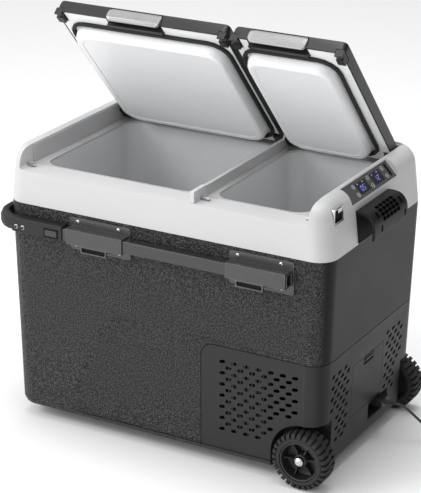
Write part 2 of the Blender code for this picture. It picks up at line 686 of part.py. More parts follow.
for side, (x0, x1) in (("left", LID_LX), ("right", LID_RX)):
    a, b = LATCHES[side]
    spec = TUBS[side]
    mid = (0.5 * (x0 + x1), HINGE_Y, HINGE_Z)
    shell = loft(
        [
            lid_ring(x0, x1, LID_Z0, 0.0),
            lid_ring(x0, x1, 0.0915, 0.0),
            lid_ring(x0, x1, 0.0950, 0.0014),
            lid_ring(x0, x1, 0.0964, 0.0034),
            lid_ring(x0, x1, LID_Z1, 0.0075),
        ]
    )
    cavity = loft([lid_ring(x0, x1, 0.0600, 0.0030), lid_ring(x0, x1, 0.0937, 0.0030)])
    solid_zones = both(rbox(a - 0.0030, b + 0.0030, -0.20, -0.1660, 0.0600, 0.0965, 0.006, "y"))
    corner_zones = join(
        *[
            box(xx - 0.0175, xx + 0.0175, yy0, yy1, 0.05, 0.2)
            for xx in (x0, x1)
            for yy0, yy1 in ((HINGE_Y - 0.0225, HINGE_Y + 0.03), (-0.22, -0.1480))
        ]
    )
    shell = cut(shell, cut(cavity, solid_zones, corner_zones))
    shell = cut(shell, both(rbox(a - 0.0006, b + 0.0006, -0.22, -0.1690, 0.0500, 0.0942, 0.006, "y")))
    hooks_clear = join(
        *[box(lo, hi, -0.30, -0.1494, 0.05, 0.0790) for lo, hi in ((x0 - 0.01, x0 + 0.0153), (x1 - 0.0153, x1 + 0.01))]
    )
    shell = cut(shell, hooks_clear, box(x0 + 0.0050, x1 - 0.0050, -0.1608, -0.1542, 0.05, 0.0790))
    for lo, hi in ((x0 + 0.0006, x0 + 0.0150), (x1 - 0.0150, x1 - 0.0006)):
        prof = [(HINGE_Y - 0.0200, HINGE_Z + 0.0060), (HINGE_Y - 0.0200, HINGE_Z - 0.0192), (HINGE_Y, HINGE_Z - 0.0192)]
        for i in range(1, 5):
            ang = math.radians(270 + 8.5 * i)
            prof.append((HINGE_Y + 0.0192 * math.cos(ang), HINGE_Z + 0.0192 * math.sin(ang)))
        prof += [(HINGE_Y + 0.0098, HINGE_Z - 0.0110), (HINGE_Y + 0.0098, HINGE_Z + 0.0060)]
        shell = union(shell, prism(prof, "x", lo, hi))
    shell = cut(shell, cyl("x", HINGE_Y, HINGE_Z, PIN_R + 0.0005, x0 - 0.01, x0 + 0.0170, 12), cyl("x", HINGE_Y, HINGE_Z, PIN_R + 0.0005, x1 - 0.0170, x1 + 0.01, 12))
    finish(side + "_lid_shell", opened(shell), material(side + "_lid_black", (0.04, 0.04, 0.042), 0.0, 0.42), mid)

    # inner moulding: flange and hollow raised plug
    gx0, gx1, gy0, gy1 = spec[0] + 0.0060, spec[1] - 0.0060, spec[2] + 0.0060, spec[3] - 0.0065

    def plug(z_top, grow, depth):
        def ring(z, inset):
            return [
                (x, y, z)
                for x, y in ring_rr(gx0 - grow + inset, gx1 + grow - inset, gy0 - grow + inset, gy1 + grow - inset, 0.030 + grow, 4)
            ]

        return loft([ring(depth, 0.0085), ring(depth + 0.0010, 0.0058), ring(depth + 0.0034, 0.0038), ring(depth + 0.0110, 0.0018), ring(z_top, 0.0)])

    # shallow field pressed into the face, 16 mm in from its edge
    field = loft(
        [
            [(x, y, z) for x, y in ring_rr(gx0 + inset, gx1 - inset, gy0 + inset, gy1 - inset, 0.0215, 4)]
            for z, inset in ((0.0400, 0.0160), (0.0485, 0.0160), (0.0495, 0.0176))
        ]
    )
    flange = loft([lid_ring(x0, x1, z, 0.0033) for z in (LID_Z0, 0.0738)])
    liner = union(flange, cut(plug(0.0730, 0.0, 0.0485), field))
    liner = cut(liner, plug(0.0900, -0.0022, 0.0507))
    rear_clear = join(
        *[
            box(lo, hi, HINGE_Y - 0.0228, 0.30, 0.05, 0.12)
            for lo, hi in ((x0 - 0.01, x0 + 0.0178), (x1 - 0.0178, x1 + 0.01))
        ]
    )
    front_clear = join(
        *[box(lo, hi, -0.30, -0.1477, 0.05, 0.12) for lo, hi in ((x0 - 0.01, x0 + 0.0178), (x1 - 0.0178, x1 + 0.01))]
    )
    liner = cut(
        liner,
        rear_clear,
        front_clear,
        rbox(a - 0.0033, b + 0.0033, -0.22, -0.1530, 0.05, 0.12, 0.0010, "z"),
        twin(rbox(a - 0.0033, b + 0.0033, -0.22, -0.1657, 0.05, 0.12, 0.006, "y")),
    )
    finish(side + "_lid_liner", opened(liner), material(side + "_liner_white", (0.78, 0.79, 0.80), 0.0, 0.4), mid)

    # sealing ring pressed onto the flange around the plug
    def seal_ring(z, out):
        return [
            (x, y, z)
            for x, y in ring_rr(gx0 - 0.0020 - out, gx1 + 0.0020 + out, gy0 - 0.0020 - out, gy1 + 0.0020 + out, 0.031 + out, 4)
        ]

    seal = torus_like(
        [seal_ring(0.0712, 0.0), seal_ring(0.0712, 0.0075), seal_ring(0.0672, 0.0082), seal_ring(0.0643, 0.0060), seal_ring(0.0643, 0.0030), seal_ring(0.0672, 0.0004)]
    )
    finish(side + "_gasket", opened(seal), material(side + "_gasket_black", (0.03, 0.03, 0.03), 0.0, 0.8), mid)

    # lock bar: a rod inside the lid with an open hook at each end and a stop strip under the finger latch
    bar = box(x0 + 0.0050, x1 - 0.0050, -0.1603, -0.1547, 0.0742, 0.0786)
    for lo, hi in ((x0 + 0.0006, x0 + 0.0150), (x1 - 0.0150, x1 - 0.0006)):
        hook = [(-0.1500, 0.0784), (-0.1500, 0.0648), (-0.1535, 0.0643), (-0.1658, 0.0643), (-0.1658, 0.0665)]
        for i in range(1, 8):
            ang = math.radians(180 * i / 8)
            hook.append((FRONT_PIN_Y + 0.0042 * math.cos(ang), FRONT_PIN_Z + 0.0042 * math.sin(ang)))
        hook += [(-0.1742, 0.0665), (-0.1742, 0.0650), (-0.1774, 0.0650), (-0.1774, 0.0784)]
        bar = union(bar, prism(hook, "x", lo, hi))
    stop = prism([(-0.1651, 0.0780), (-0.1533, 0.0780), (-0.1533, 0.0690), (-0.1545, 0.0665), (-0.1651, 0.0650)], "x", a - 0.0020, b + 0.0020)
    bar = union(bar, stop)
    finish(side + "_lock_bar", opened(bar), material(side + "_lock_black", (0.02, 0.02, 0.02), 0.0, 0.5), mid)

    # finger latches on the front and rear edges, hinged along their upper edges
    ay, az = LATCH_AXIS
    prof = []
    for i in range(0, 7):
        ang = math.radians(20 + 25 * i)
        prof.append((ay + 0.0030 * math.cos(ang), az + 0.0030 * math.sin(ang)))
    prof += [(-0.1806, 0.0880), (-0.1822, 0.0810), (-0.1824, 0.0730), (-0.1808, 0.0682), (-0.1788, 0.0664), (-0.1770, 0.0668),
             (-0.1762, 0.0700), (-0.1765, 0.0800), (-0.1748, 0.0868)]
    latch = boolean(prism(prof, "x", a, b), prism(ring_rr(a, b, 0.0655, 0.0945, 0.0105, 5), "y", -0.20, -0.16), "INTERSECT")
    rear_latch = twin(latch)
    finish(side + "_front_latch", opened(latch), material(side + "_latch_silver", (0.62, 0.62, 0.63), 0.3, 0.35), open_point(0.5 * (a + b), ay, az))
    finish(side + "_rear_latch", opened(rear_latch), material(side + "_rear_latch_silver", (0.62, 0.62, 0.63), 0.3, 0.35), open_point(0.5 * (a + b), MID_Y2 - ay, az))

# ---------------------------------------------------------------- control panel
KEYS = [(u, y) for y in (-0.0560, 0.0015, 0.0600) for u in (-0.0083, 0.0083)]
panel = slope_box(-PANEL_HALF, PANEL_HALF, PANEL_Y[0], PANEL_Y[1], -0.0023, 0.0004)
panel = cut(panel, join(*[slope_cyl(u, y, 0.0054, -0.01, 0.01, 12) for u, y in KEYS]))
panel = cut(
    panel,
    join(*[slope_box(-0.0113, 0.0113, y - 0.0198, y + 0.0198, -0.01, 0.01) for y in (-0.0272, 0.0308)]),
    slope_box(-0.0137, 0.0125, 0.0722, 0.0808, -0.01, 0.01),
)
finish("control_panel", panel, material("panel_black", (0.055, 0.057, 0.06), 0.0, 0.3))
board = slope_box(-PANEL_HALF + 0.0006, PANEL_HALF - 0.0006, PANEL_Y[0] + 0.0006, PANEL_Y[1] - 0.0006, -0.0047, -0.0027)
for y in (-0.0272, 0.0308):
    board = union(board, slope_box(-0.0110, 0.0110, y - 0.0195, y + 0.0195, -0.0030, -0.0005))
board = union(board, slope_box(-0.0134, 0.0122, 0.0725, 0.0805, -0.0030, 0.0003))
board = cut(board, slope_box(-0.0115, 0.0103, 0.0747, 0.0783, -0.0022, 0.01))
finish("display_board", board, material("display_dark", (0.03, 0.03, 0.04), 0.0, 0.15))
for i, (u, y) in enumerate(KEYS):
    p = on_slope(u, 0.0)
    finish(
        "key_%d" % (i + 1),
        slope_cyl(u, y, 0.0048, -0.0013, 0.0009, 12),
        material("key_%d_grey" % (i + 1), (0.10, 0.10, 0.11), 0.0, 0.35),
        (p[0], y, p[1]),
    )

# ---------------------------------------------------------------- side grab handle with its louvre
def fx(z):
    return frame_x1(z) + GAP


hood_out = [
    (fx(0.0605), 0.0605), (0.3330, 0.0606), (0.3427, 0.0595), (0.3490, 0.0568), (0.3545, 0.0520), (0.3585, 0.0460),
    (0.3608, 0.0390), (0.3617, 0.0300), (0.3615, 0.0200), (0.3602, 0.0115), (fx(0.0115), 0.0115),
]
hood_in = [
    (fx(0.0562) + 0.0030, 0.0562), (0.3330, 0.0567), (0.3418, 0.0557), (0.3472, 0.0534), (0.3517, 0.0494), (0.3549, 0.0444),
    (0.3569, 0.0383), (0.3577, 0.0300), (0.3575, 0.0180), (0.3562, 0.0000), (fx(0.0) + 0.0030, 0.0000),
]
hood = cut(prism(hood_out, "y", -0.0850, 0.0500), prism(hood_in, "y", -0.10, 0.0462))


def louvre(cx, cz, nx, nz, y0, y1, half):
    """Slot through the hood, square to its face at one height."""
    tx, tz = -nz, nx
    pts = []
    for s, t in ((-1, -0.008), (1, -0.008), (1, 0.008), (-1, 0.008)):
        pts.append((cx + tx * half * s + nx * t, cz + tz * half * s + nz * t))
    return prism(pts, "y", y0, y1)


rows = [(0.3425, 0.0594, 0.28, 0.96), (0.3510, 0.0553, 0.60, 0.80), (0.3570, 0.0488, 0.81, 0.59), (0.3604, 0.0405, 0.96, 0.28)]
tools = []
for k, (cx, cz, nx, nz) in enumerate(rows):
    length = math.hypot(nx, nz)
    nx, nz = nx / length, nz / length
    if k in (0, 3):
        tools.append(louvre(cx, cz, nx, nz, -0.0500, 0.0170, 0.0026))
    else:
        for c in range(4):
            y0 = -0.0500 + c * 0.01725
            tools.append(louvre(cx, cz, nx, nz, y0, y0 + 0.01525, 0.0026))
for y0 in (-0.0620, 0.0260):
    tools.append(louvre(0.3545, 0.0520, 0.72, 0.69, y0, y0 + 0.0046, 0.0070))
for y0, y1, z0, z1 in ((-0.0540, -0.0490, 0.0160, 0.0290), (0.0385, 0.0435, 0.0160, 0.0290)):
    tools.append(box(0.3500, 0.37, y0, y1, z0, z1))
for tool in tools:
    hood = boolean(hood, tool)
hood = union(hood, prism([(fx(0.0604), 0.0604), (fx(0.0604) + 0.0040, 0.0604), (fx(0.0020) + 0.0018, 0.0020), (fx(0.0020), 0.0020)], "y", -0.0848, 0.0498))
finish("side_grab_handle", hood, material("handle_black", (0.06, 0.06, 0.063), 0.0, 0.5))

# ---------------------------------------------------------------- tow handle guides
def bracket(x0, x1, window):
    plate = rbox(x0, x1, -0.2013, -0.1989, -0.0664, -0.0060, 0.0045, "y")
    hat = box(x0 + 0.0040, x1 - 0.0055, -0.2238, -0.2005, -0.0497, -0.0213)
    guide = union(plate, hat)
    guide = cut(guide, box(x0 - 0.02, x1 + 0.02, -0.2212, -0.2017, -0.0471, -0.0239))
    return cut(guide, box(window, window + 0.049, -0.23, -0.19, -0.0618, -0.0535))


BRACKETS = ((-0.1870, -0.0604, -0.1500), (0.1400, 0.2655, 0.1660))


def dome(axis, cu, cv, face, sign, radius, height, n=8):
    """Button-head screw standing on a face."""
    return turned([(radius, face), (radius, face + sign * height * 0.55), (radius * 0.55, face + sign * height)], axis, cu, cv, n)


first, second = [bracket(*spec) for spec in BRACKETS]
# flat tie behind the bar joins the two guides of a side
guides = union(first, second, box(-0.0700, 0.1500, -0.2012, -0.1990, -0.0400, -0.0310))
for x0, x1, _ in BRACKETS:
    for sx, sz in ((x0 + 0.0170, -0.0130), (x1 - 0.0245, -0.0130), (x0 + 0.0125, -0.0572), (x1 - 0.0230, -0.0572)):
        guides = union(guides, dome("y", sx, sz, -0.2008, -1, 0.0036, 0.0026))
finish("rear_rail_guides", mirrored(guides), material("guide_rear_black", (0.05, 0.05, 0.053), 0.2, 0.5))
finish("front_rail_guides", guides, material("guide_front_black", (0.05, 0.05, 0.053), 0.2, 0.5))

# ---------------------------------------------------------------- tow handle: bars, grip, buttons
def rail(sign):
    bar = cut(box(*TUBE_X, *TUBE_Y, *TUBE_Z), box(TUBE_X[0] - 0.01, TUBE_X[1] + 0.01, TUBE_Y[0] + 0.0016, TUBE_Y[1] - 0.0016, TUBE_Z[0] + 0.0016, TUBE_Z[1] - 0.0016))
    return bar if sign < 0 else mirrored(bar)


finish("handle_bar_front", rail(-1), material("bar_front_black", (0.05, 0.05, 0.053), 0.4, 0.45), (TUBE_X[0], -0.2115, -0.0355))
finish("handle_bar_rear", rail(1), material("bar_rear_black", (0.05, 0.05, 0.053), 0.4, 0.45), (TUBE_X[0], 0.2115, -0.0355))

GRIP_Z = -0.0345
ARC_R = 0.0428
ARC_C = (-0.3000, -0.1690)


def grip_section(width, height):
    """Rounded upright section as (offset outwards, height) points."""
    w, h = width / 2, height / 2
    return [
        (w, -h * 0.45), (w, h * 0.45), (w * 0.60, h * 0.88), (w * 0.10, h), (-w * 0.75, h * 0.86),
        (-w, h * 0.40), (-w, -h * 0.40), (-w * 0.75, -h * 0.86), (w * 0.10, -h), (w * 0.60, -h * 0.88),
    ]


path = [((-0.2700, ARC_C[1] - ARC_R), (0.0, -1.0), 0.0200, 0.0272), ((-0.2860, ARC_C[1] - ARC_R), (0.0, -1.0), 0.0195, 0.0276)]
for i in range(0, 6):
    a = math.radians(270 - 18 * i)
    n = (math.cos(a), math.sin(a))
    t = i / 5
    path.append(((ARC_C[0] + ARC_R * n[0], ARC_C[1] + ARC_R * n[1]), n, 0.0190 - 0.0040 * t, 0.0280 + 0.0030 * t))
path.append(((ARC_C[0] - ARC_R, -0.0900), (-1.0, 0.0), 0.0150, 0.0320))
half = list(path)
for (x, y), (nx, ny), w, h in reversed(half):
    path.append(((x, -y), (nx, -ny), w, h))
rings = []
for (x, y), (nx, ny), w, h in path:
    rings.append([(x + nx * o, y + ny * o, GRIP_Z + dz) for o, dz in grip_section(w, h)])
grip = loft(rings)
lug = rbox(-0.3000, -0.1925, -0.2232, -0.2003, -0.0482, -0.0206, 0.0030, "x", 2)
lugs = join(lug, mirrored(lug.copy()))
grip = boolean(grip, lugs, "UNION")
socket = box(-0.2620, -0.18, -0.2212, -0.2017, -0.0471, -0.0239)
grip = boolean(grip, join(socket, mirrored(socket.copy())))
window = box(-0.2285, -0.2020, -0.24, -0.2150, -0.0432, -0.0308)
grip = boolean(grip, join(window, mirrored(window.copy())))
for bx in (-0.2906, -0.2763):
    bolt = dome("y", bx, -0.0370, -0.2225, -1, 0.0044, 0.0034, 10)
    grip = union(grip, mirrored(bolt), bolt)
finish("handle_grip", grip, material("grip_black", (0.05, 0.05, 0.052), 0.0, 0.55), (-0.3428, 0, GRIP_Z))

button = rbox(-0.2279, -0.2026, -0.2244, -0.2226, -0.0426, -0.0314, 0.0020, "y", 3)
finish("release_button_rear", mirrored(button), material("button_rear_black", (0.09, 0.09, 0.095), 0.0, 0.4), (-0.21525, 0.2235, -0.037))
finish("release_button_front", button, material("button_front_black", (0.09, 0.09, 0.095), 0.0, 0.4), (-0.21525, -0.2235, -0.037))

# ---------------------------------------------------------------- wheels
LUGS = 18


def tread_ring(y, root, tip, phase):
    """Toothed outline of the tyre at one width station."""
    pts = []
    for k in range(LUGS):
        for frac, rad in ((0.0, root), (0.18, tip), (0.78, tip)):
            a = 2 * math.pi * (k + frac + phase) / LUGS
            pts.append((WHEEL_X + rad * math.cos(a), y, WHEEL_Z + rad * math.sin(a)))
    return pts


def tyre():
    w = WHEEL_HALF_W
    y = -WHEEL_Y
    bore = 0.0378
    rows = [
        tread_ring(y - w + 0.0010, bore, bore, 0.0),
        tread_ring(y - w, 0.0440, 0.0440, 0.0),
        tread_ring(y - w + 0.0060, 0.0500, WHEEL_R, 0.0),
        tread_ring(y + w - 0.0060, 0.0500, WHEEL_R, 0.35),
        tread_ring(y + w, 0.0440, 0.0440, 0.35),
        tread_ring(y + w - 0.0010, bore, bore, 0.35),
    ]
    return torus_like(rows)


def rim():
    """Deep-dished rim: barrel, web and hub turned as one profile, with six windows in the web."""
    y = -WHEEL_Y
    f, b = y - 0.0195, y + 0.0190
    profile = [
        (0.0374, f), (0.0374, b), (0.0338, b), (0.0330, y + 0.0050), (0.0135, y + 0.0040), (0.0130, b - 0.0040), (0.0055, b - 0.0040),
        (0.0055, y - 0.0165), (0.0130, y - 0.0165), (0.0145, y - 0.0070), (0.0330, y - 0.0010), (0.0345, f),
    ]
    body = lathe(profile, "y", WHEEL_X, WHEEL_Z, 24)
    tools = []
    for k in range(6):
        a = 2 * math.pi * (k + 0.5) / 6
        pts = []
        for rad, da in ((0.0175, -0.20), (0.0300, -0.33), (0.0300, 0.33), (0.0175, 0.20)):
            pts.append((WHEEL_X + rad * math.cos(a + da), WHEEL_Z + rad * math.sin(a + da)))
        tools.append(prism(pts, "y", y - 0.03, y + 0.03))
    return boolean(body, join(*tools))


hub_front = (WHEEL_X, -WHEEL_Y, WHEEL_Z)
hub_rear = (WHEEL_X, WHEEL_Y, WHEEL_Z)
t = tyre()
finish("rear_tyre", mirrored(t), material("tyre_rear_black", (0.035, 0.035, 0.036), 0.0, 0.8), hub_rear)
finish("front_tyre", t, material("tyre_front_black", (0.035, 0.035, 0.036), 0.0, 0.8), hub_front)
w = rim()
finish("rear_rim", mirrored(w), material("rim_rear_black", (0.05, 0.05, 0.052), 0.0, 0.5), hub_rear)
finish("front_rim", w, material("rim_front_black", (0.05, 0.05, 0.052), 0.0, 0.5), hub_front)

axle = turned(
    [(0.0045, -0.2125), (0.0078, -0.2095), (0.0078, -0.2070), (0.0050, -0.2070), (0.0050, 0.2070),
     (0.0078, 0.2070), (0.0078, 0.2095), (0.0045, 0.2125)],
    "y", WHEEL_X, WHEEL_Z, 14,
)
finish("axle", axle, material("axle_chrome", (0.72, 0.72, 0.74), 1.0, 0.2))

foot = rbox(-0.2800, -0.2350, -0.1300, 0.1300, -GROUND, BODY_BOTTOM - GAP, 0.010, "z", 3, 0.0015)
foot = cut(foot, box(-0.30, -0.20, -0.0850, 0.0850, -0.50, -GROUND + 0.0100))
finish("foot_strip", foot, material("foot_rubber", (0.03, 0.03, 0.03), 0.0, 0.85))

# ---------------------------------------------------------------- machinery in the bay
tray = box(0.0845, 0.2975, -0.1785, 0.1785, -0.4075, -0.4045)
tray = cut(tray, box(0.2205, 0.40, -0.40, -0.1430, -0.5, -0.30), box(0.2205, 0.40, 0.1430, 0.40, -0.5, -0.30))
posts = join(box(0.2760, 0.2960, -0.1300, -0.1180, -0.4050, -0.3660), box(0.2760, 0.2960, 0.1180, 0.1300, -0.4050, -0.3660))
tray = boolean(tray, posts, "UNION")
liners = boolean(wells(COVER_T), boolean(cover_void(0.0006), box(0.20, 0.40, -0.30, 0.30, -0.4075, -0.30), "INTERSECT"), "INTERSECT")
liners = cut(liners, wells(0.0))
tray = boolean(tray, liners, "UNION")
tray = cut(tray, cyl("y", WHEEL_X, WHEEL_Z, 0.0053, -0.2, 0.2, 16))
finish("base_tray", tray, material("tray_black", (0.035, 0.035, 0.037), 0.0, 0.6))

can = turned(
    [(0.0440, -0.4042), (0.0530, -0.3900), (0.0540, -0.3400), (0.0490, -0.3150), (0.0350, -0.3030), (0.0150, -0.2990)],
    "z", 0.1500, 0.0700, 20,
)
core = turned([(0.0440, -0.3930), (0.0500, -0.3420), (0.0440, -0.3200), (0.0150, -0.3060)], "z", 0.1500, 0.0700, 12)
can = cut(can, core, cyl("z", 0.1500, 0.0700, 0.0050, -0.32, -0.28, 8))
finish("compressor", can, material("compressor_black", (0.03, 0.03, 0.032), 0.4, 0.45))

fins = 15
comb = [(0.1000, -0.1680), (0.1000, -0.1860)]
pitch = (0.2120 - 0.1000) / (2 * fins - 1)
for k in range(fins):
    x = 0.1000 + 2 * k * pitch
    if k:
        comb += [(x, -0.1720), (x, -0.1860)]
    comb += [(x + pitch, -0.1860)]
    if k < fins - 1:
        comb += [(x + pitch, -0.1720)]
comb.append((0.2120, -0.1680))
finish("condenser", prism(comb, "z", -0.4042, -0.2250), material("condenser_alu", (0.62, 0.63, 0.65), 1.0, 0.4))

FAN_X, FAN_Z = 0.1560, -0.3080
body = union(
    rbox(FAN_X - 0.0460, FAN_X + 0.0460, -0.1600, -0.1400, FAN_Z - 0.0460, FAN_Z + 0.0460, 0.004, "y"),
    box(FAN_X - 0.0410, FAN_X - 0.0250, -0.1600, -0.1400, -0.4042, FAN_Z - 0.0400),
    box(FAN_X + 0.0250, FAN_X + 0.0410, -0.1600, -0.1400, -0.4042, FAN_Z - 0.0400),
)
body = cut(body, cyl("y", FAN_X, FAN_Z, 0.0430, -0.20, -0.10, 24))
spider = union(
    cyl("y", FAN_X, FAN_Z, 0.0150, -0.1430, -0.1400, 12),
    box(FAN_X - 0.0020, FAN_X + 0.0020, -0.1430, -0.1400, FAN_Z - 0.0445, FAN_Z + 0.0445),
    box(FAN_X - 0.0445, FAN_X + 0.0445, -0.1429, -0.1401, FAN_Z - 0.0020, FAN_Z + 0.0020),
)
finish("fan_frame", union(body, spider), material("fan_frame_black", (0.04, 0.04, 0.04), 0.0, 0.5))

rotor = turned([(0.0140, -0.1585), (0.0140, -0.1440)], "y", FAN_X, FAN_Z, 15)
for k in range(5):
    a = 2 * math.pi * k / 5
    ca, sa = math.cos(a), math.sin(a)

    def station(rad, half_w, y0, y1):
        out = []
        for s, yy in ((-half_w, y0), (half_w, y1), (half_w, y1 + 0.0014), (-half_w, y0 + 0.0014)):
            out.append((FAN_X + rad * ca - s * sa, yy, FAN_Z + rad * sa + s * ca))
        return out

    rotor = union(rotor, loft([station(0.0120, 0.0045, -0.1560, -0.1475), station(0.0395, 0.0145, -0.1555, -0.1465)]))
finish("fan_rotor", rotor, material("rotor_black", (0.05, 0.05, 0.05), 0.0, 0.45), (FAN_X, -0.1510, FAN_Z))

# ---------------------------------------------------------------- 12 V lead
plug_body = union(
    turned([(0.0043, 0.2965), (0.0043, 0.3030)], "x", PLUG_Y, PLUG_Z, 12),
    rbox(0.3014, 0.3300, PLUG_Y - 0.0150, PLUG_Y + 0.0150, PLUG_Z - 0.0080, PLUG_Z + 0.0080, 0.0035, "x", 3, 0.0015),
    turned([(0.0056, 0.3290), (0.0050, 0.3320), (0.0036, 0.3400)], "x", PLUG_Y, PLUG_Z, 14),
)
finish("dc_plug", plug_body, material("plug_black", (0.03, 0.03, 0.03), 0.0, 0.5), (0.3400, PLUG_Y, PLUG_Z))

COIL_C = (0.4850, 0.1250)
COIL_IN, COIL_OUT, COIL_H = 0.0170, 0.0380, 0.0205
COIL_EDGE = 0.0355                        # radius on which the lead joins and leaves the coil
FLOOR_Z = -GROUND + CORD_R + 0.0003       # centre of the lead where it lies on the floor

ROUTE = [
    (0.3405, PLUG_Y, PLUG_Z), (0.3480, PLUG_Y, PLUG_Z), (0.3580, 0.0603, -0.3597), (0.3700, 0.0635, -0.3660), (0.3830, 0.0665, -0.3765),
    (0.3980, 0.0695, -0.3895), (0.4130, 0.0725, -0.4020), (0.4280, 0.0765, -0.4135), (0.4420, 0.0820, -0.4230),
    (0.4545, 0.0873, FLOOR_Z + 0.0004), (COIL_C[0] - 0.0200, COIL_C[1] - COIL_EDGE, FLOOR_Z),
]


def smooth_route(points, step):
    """Evenly spaced points on a Catmull-Rom curve through the route's own points."""
    ext = [points[0]] + points + [points[-1]]
    dense = []
    for p0, p1, p2, p3 in zip(ext, ext[1:], ext[2:], ext[3:]):
        for i in range(12):
            t = i / 12
            dense.append(
                tuple(
                    0.5 * (2 * b + (c - a) * t + (2 * a - 5 * b + 4 * c - d) * t * t + (3 * b - a - 3 * c + d) * t ** 3)
                    for a, b, c, d in zip(p0, p1, p2, p3)
                )
            )
    dense.append(points[-1])
    dense = [Vector(p) for p in dense]
    along = [0.0]
    for a, b in zip(dense, dense[1:]):
        along.append(along[-1] + (b - a).length)
    count = max(2, round(along[-1] / step))
    out, k = [], 0
    for i in range(count + 1):
        want = along[-1] * i / count
        while k < len(along) - 2 and along[k + 1] < want:
            k += 1
        span = max(along[k + 1] - along[k], 1e-9)
        out.append(dense[k].lerp(dense[k + 1], min(max((want - along[k]) / span, 0.0), 1.0)))
    return out


line = smooth_route(ROUTE, 0.0110)
curve = bpy.data.curves.new("dc_lead", "CURVE")
curve.dimensions = "3D"
curve.bevel_depth = CORD_R
curve.bevel_resolution = 2
curve.use_fill_caps = True
spline = curve.splines.new("POLY")
spline.points.add(len(line) - 1)
for point, at in zip(spline.points, line):
    point.co = (at.x + DX, at.y, at.z + GROUND, 1.0)
lead = bpy.data.objects.new("dc_lead", curve)
bpy.context.scene.collection.objects.link(lead)
lead.data.materials.append(material("lead_black", (0.03, 0.03, 0.03), 0.0, 0.5))

low, high = -GROUND + GAP, -GROUND + GAP + COIL_H
coil = lathe(
    [
        (COIL_IN + 0.003, low), (COIL_OUT - 0.003, low), (COIL_OUT, low + 0.003), (COIL_OUT, high - 0.003),
        (COIL_OUT - 0.003, high), (COIL_IN + 0.003, high), (COIL_IN, high - 0.003), (COIL_IN, low + 0.003),
    ],
    "z", *COIL_C, 20,
)
finish("lead_coil", coil, material("coil_black", (0.03, 0.03, 0.03), 0.0, 0.5))

car_x, car_y, car_z = COIL_C[0] + COIL_EDGE, COIL_C[1], -GROUND + 0.0108
car_plug = turned(
    [(r, car_y + t) for r, t in ((0.0034, 0.0214), (0.0045, 0.0340), (0.0088, 0.0380), (0.0105, 0.0420), (0.0105, 0.0800), (0.0086, 0.0830), (0.0070, 0.0950), (0.0035, 0.0975))],
    "y", car_x, car_z, 16,
)
finish("car_plug", car_plug, material("car_plug_black", (0.03, 0.03, 0.03), 0.0, 0.45), (car_x, car_y, car_z))
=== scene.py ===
import math

import bmesh
import bpy
from mathutils import Matrix, Vector


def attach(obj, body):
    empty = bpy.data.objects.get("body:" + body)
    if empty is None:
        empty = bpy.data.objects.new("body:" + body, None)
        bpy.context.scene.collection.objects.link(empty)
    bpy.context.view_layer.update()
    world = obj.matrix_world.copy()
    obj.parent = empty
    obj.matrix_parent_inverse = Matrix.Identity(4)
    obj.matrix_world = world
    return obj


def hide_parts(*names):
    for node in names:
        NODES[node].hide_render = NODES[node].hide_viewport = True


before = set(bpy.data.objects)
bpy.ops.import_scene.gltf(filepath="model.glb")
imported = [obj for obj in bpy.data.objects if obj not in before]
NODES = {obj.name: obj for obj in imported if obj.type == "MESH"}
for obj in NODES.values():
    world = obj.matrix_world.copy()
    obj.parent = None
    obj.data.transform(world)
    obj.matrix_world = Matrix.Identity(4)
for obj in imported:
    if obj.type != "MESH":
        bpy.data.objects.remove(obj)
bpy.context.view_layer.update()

DX, GROUND = -0.0058, 0.4300          # the CAD's seam lies 0.43 above the floor


def W(x, y, z):
    """A point given about the seam between the light top and the dark body."""
    return Vector((x + DX, y, z + GROUND))


# ------------------------------------------------------------------ camera
AZ, EL, ROLL = math.radians(29.47), math.radians(21.28), math.radians(0.155)
back = Vector((math.sin(AZ) * math.cos(EL), -math.cos(AZ) * math.cos(EL), math.sin(EL)))
fwd = -back
right = fwd.cross(Vector((0, 0, 1))).normalized()
up = right.cross(fwd).normalized()
r2 = right * math.cos(ROLL) + up * math.sin(ROLL)
u2 = up * math.cos(ROLL) - right * math.sin(ROLL)
cam_data = bpy.data.cameras.new("camera")
cam = bpy.data.objects.new("camera", cam_data)
bpy.context.scene.collection.objects.link(cam)
m = Matrix((r2, u2, back)).transposed().to_4x4()
m.translation = W(1.67475, -2.99784, 1.24028)
cam.matrix_world = m
cam_data.sensor_width = 36.0
cam_data.lens = 1986.57 * 36.0 / 493.0
cam_data.shift_x = (210.5 - 206.25) / 493.0
cam_data.shift_y = (247.33 - 246.5) / 493.0
cam_data.clip_start, cam_data.clip_end = 0.05, 60.0
cam_data.dof.use_dof = False
bpy.context.scene.camera = cam

# ------------------------------------------------------------------ the 12 V lead, first of the pieces
CORD_R = 0.0025
PLUG_Y, PLUG_Z = 0.0580, -0.3585
COIL_C = (0.4850, 0.1250)
COIL_EDGE = 0.0355
FLOOR_Z = -GROUND + CORD_R + 0.0003
ROUTE = [
    (0.3405, PLUG_Y, PLUG_Z), (0.3480, PLUG_Y, PLUG_Z), (0.3580, 0.0603, -0.3597), (0.3700, 0.0635, -0.3660), (0.3830, 0.0665, -0.3765),
    (0.3980, 0.0695, -0.3895), (0.4130, 0.0725, -0.4020), (0.4280, 0.0765, -0.4135), (0.4420, 0.0820, -0.4230),
    (0.4545, 0.0873, FLOOR_Z + 0.0004), (COIL_C[0] - 0.0200, COIL_C[1] - COIL_EDGE, FLOOR_Z),
]


def catmull(points, n):
    ext = [points[0]] + points + [points[-1]]
    out = []
    for p0, p1, p2, p3 in zip(ext, ext[1:], ext[2:], ext[3:]):
        for i in range(n):
            t = i / n
            out.append(Vector([
                0.5 * (2 * b + (c - a) * t + (2 * a - 5 * b + 4 * c - d) * t * t + (3 * b - a - 3 * c + d) * t ** 3)
                for a, b, c, d in zip(p0, p1, p2, p3)
            ]))
    out.append(Vector(points[-1]))
    return out


def ease(t):
    t = min(max(t, 0.0), 1.0)
    return t * t * (3 - 2 * t)


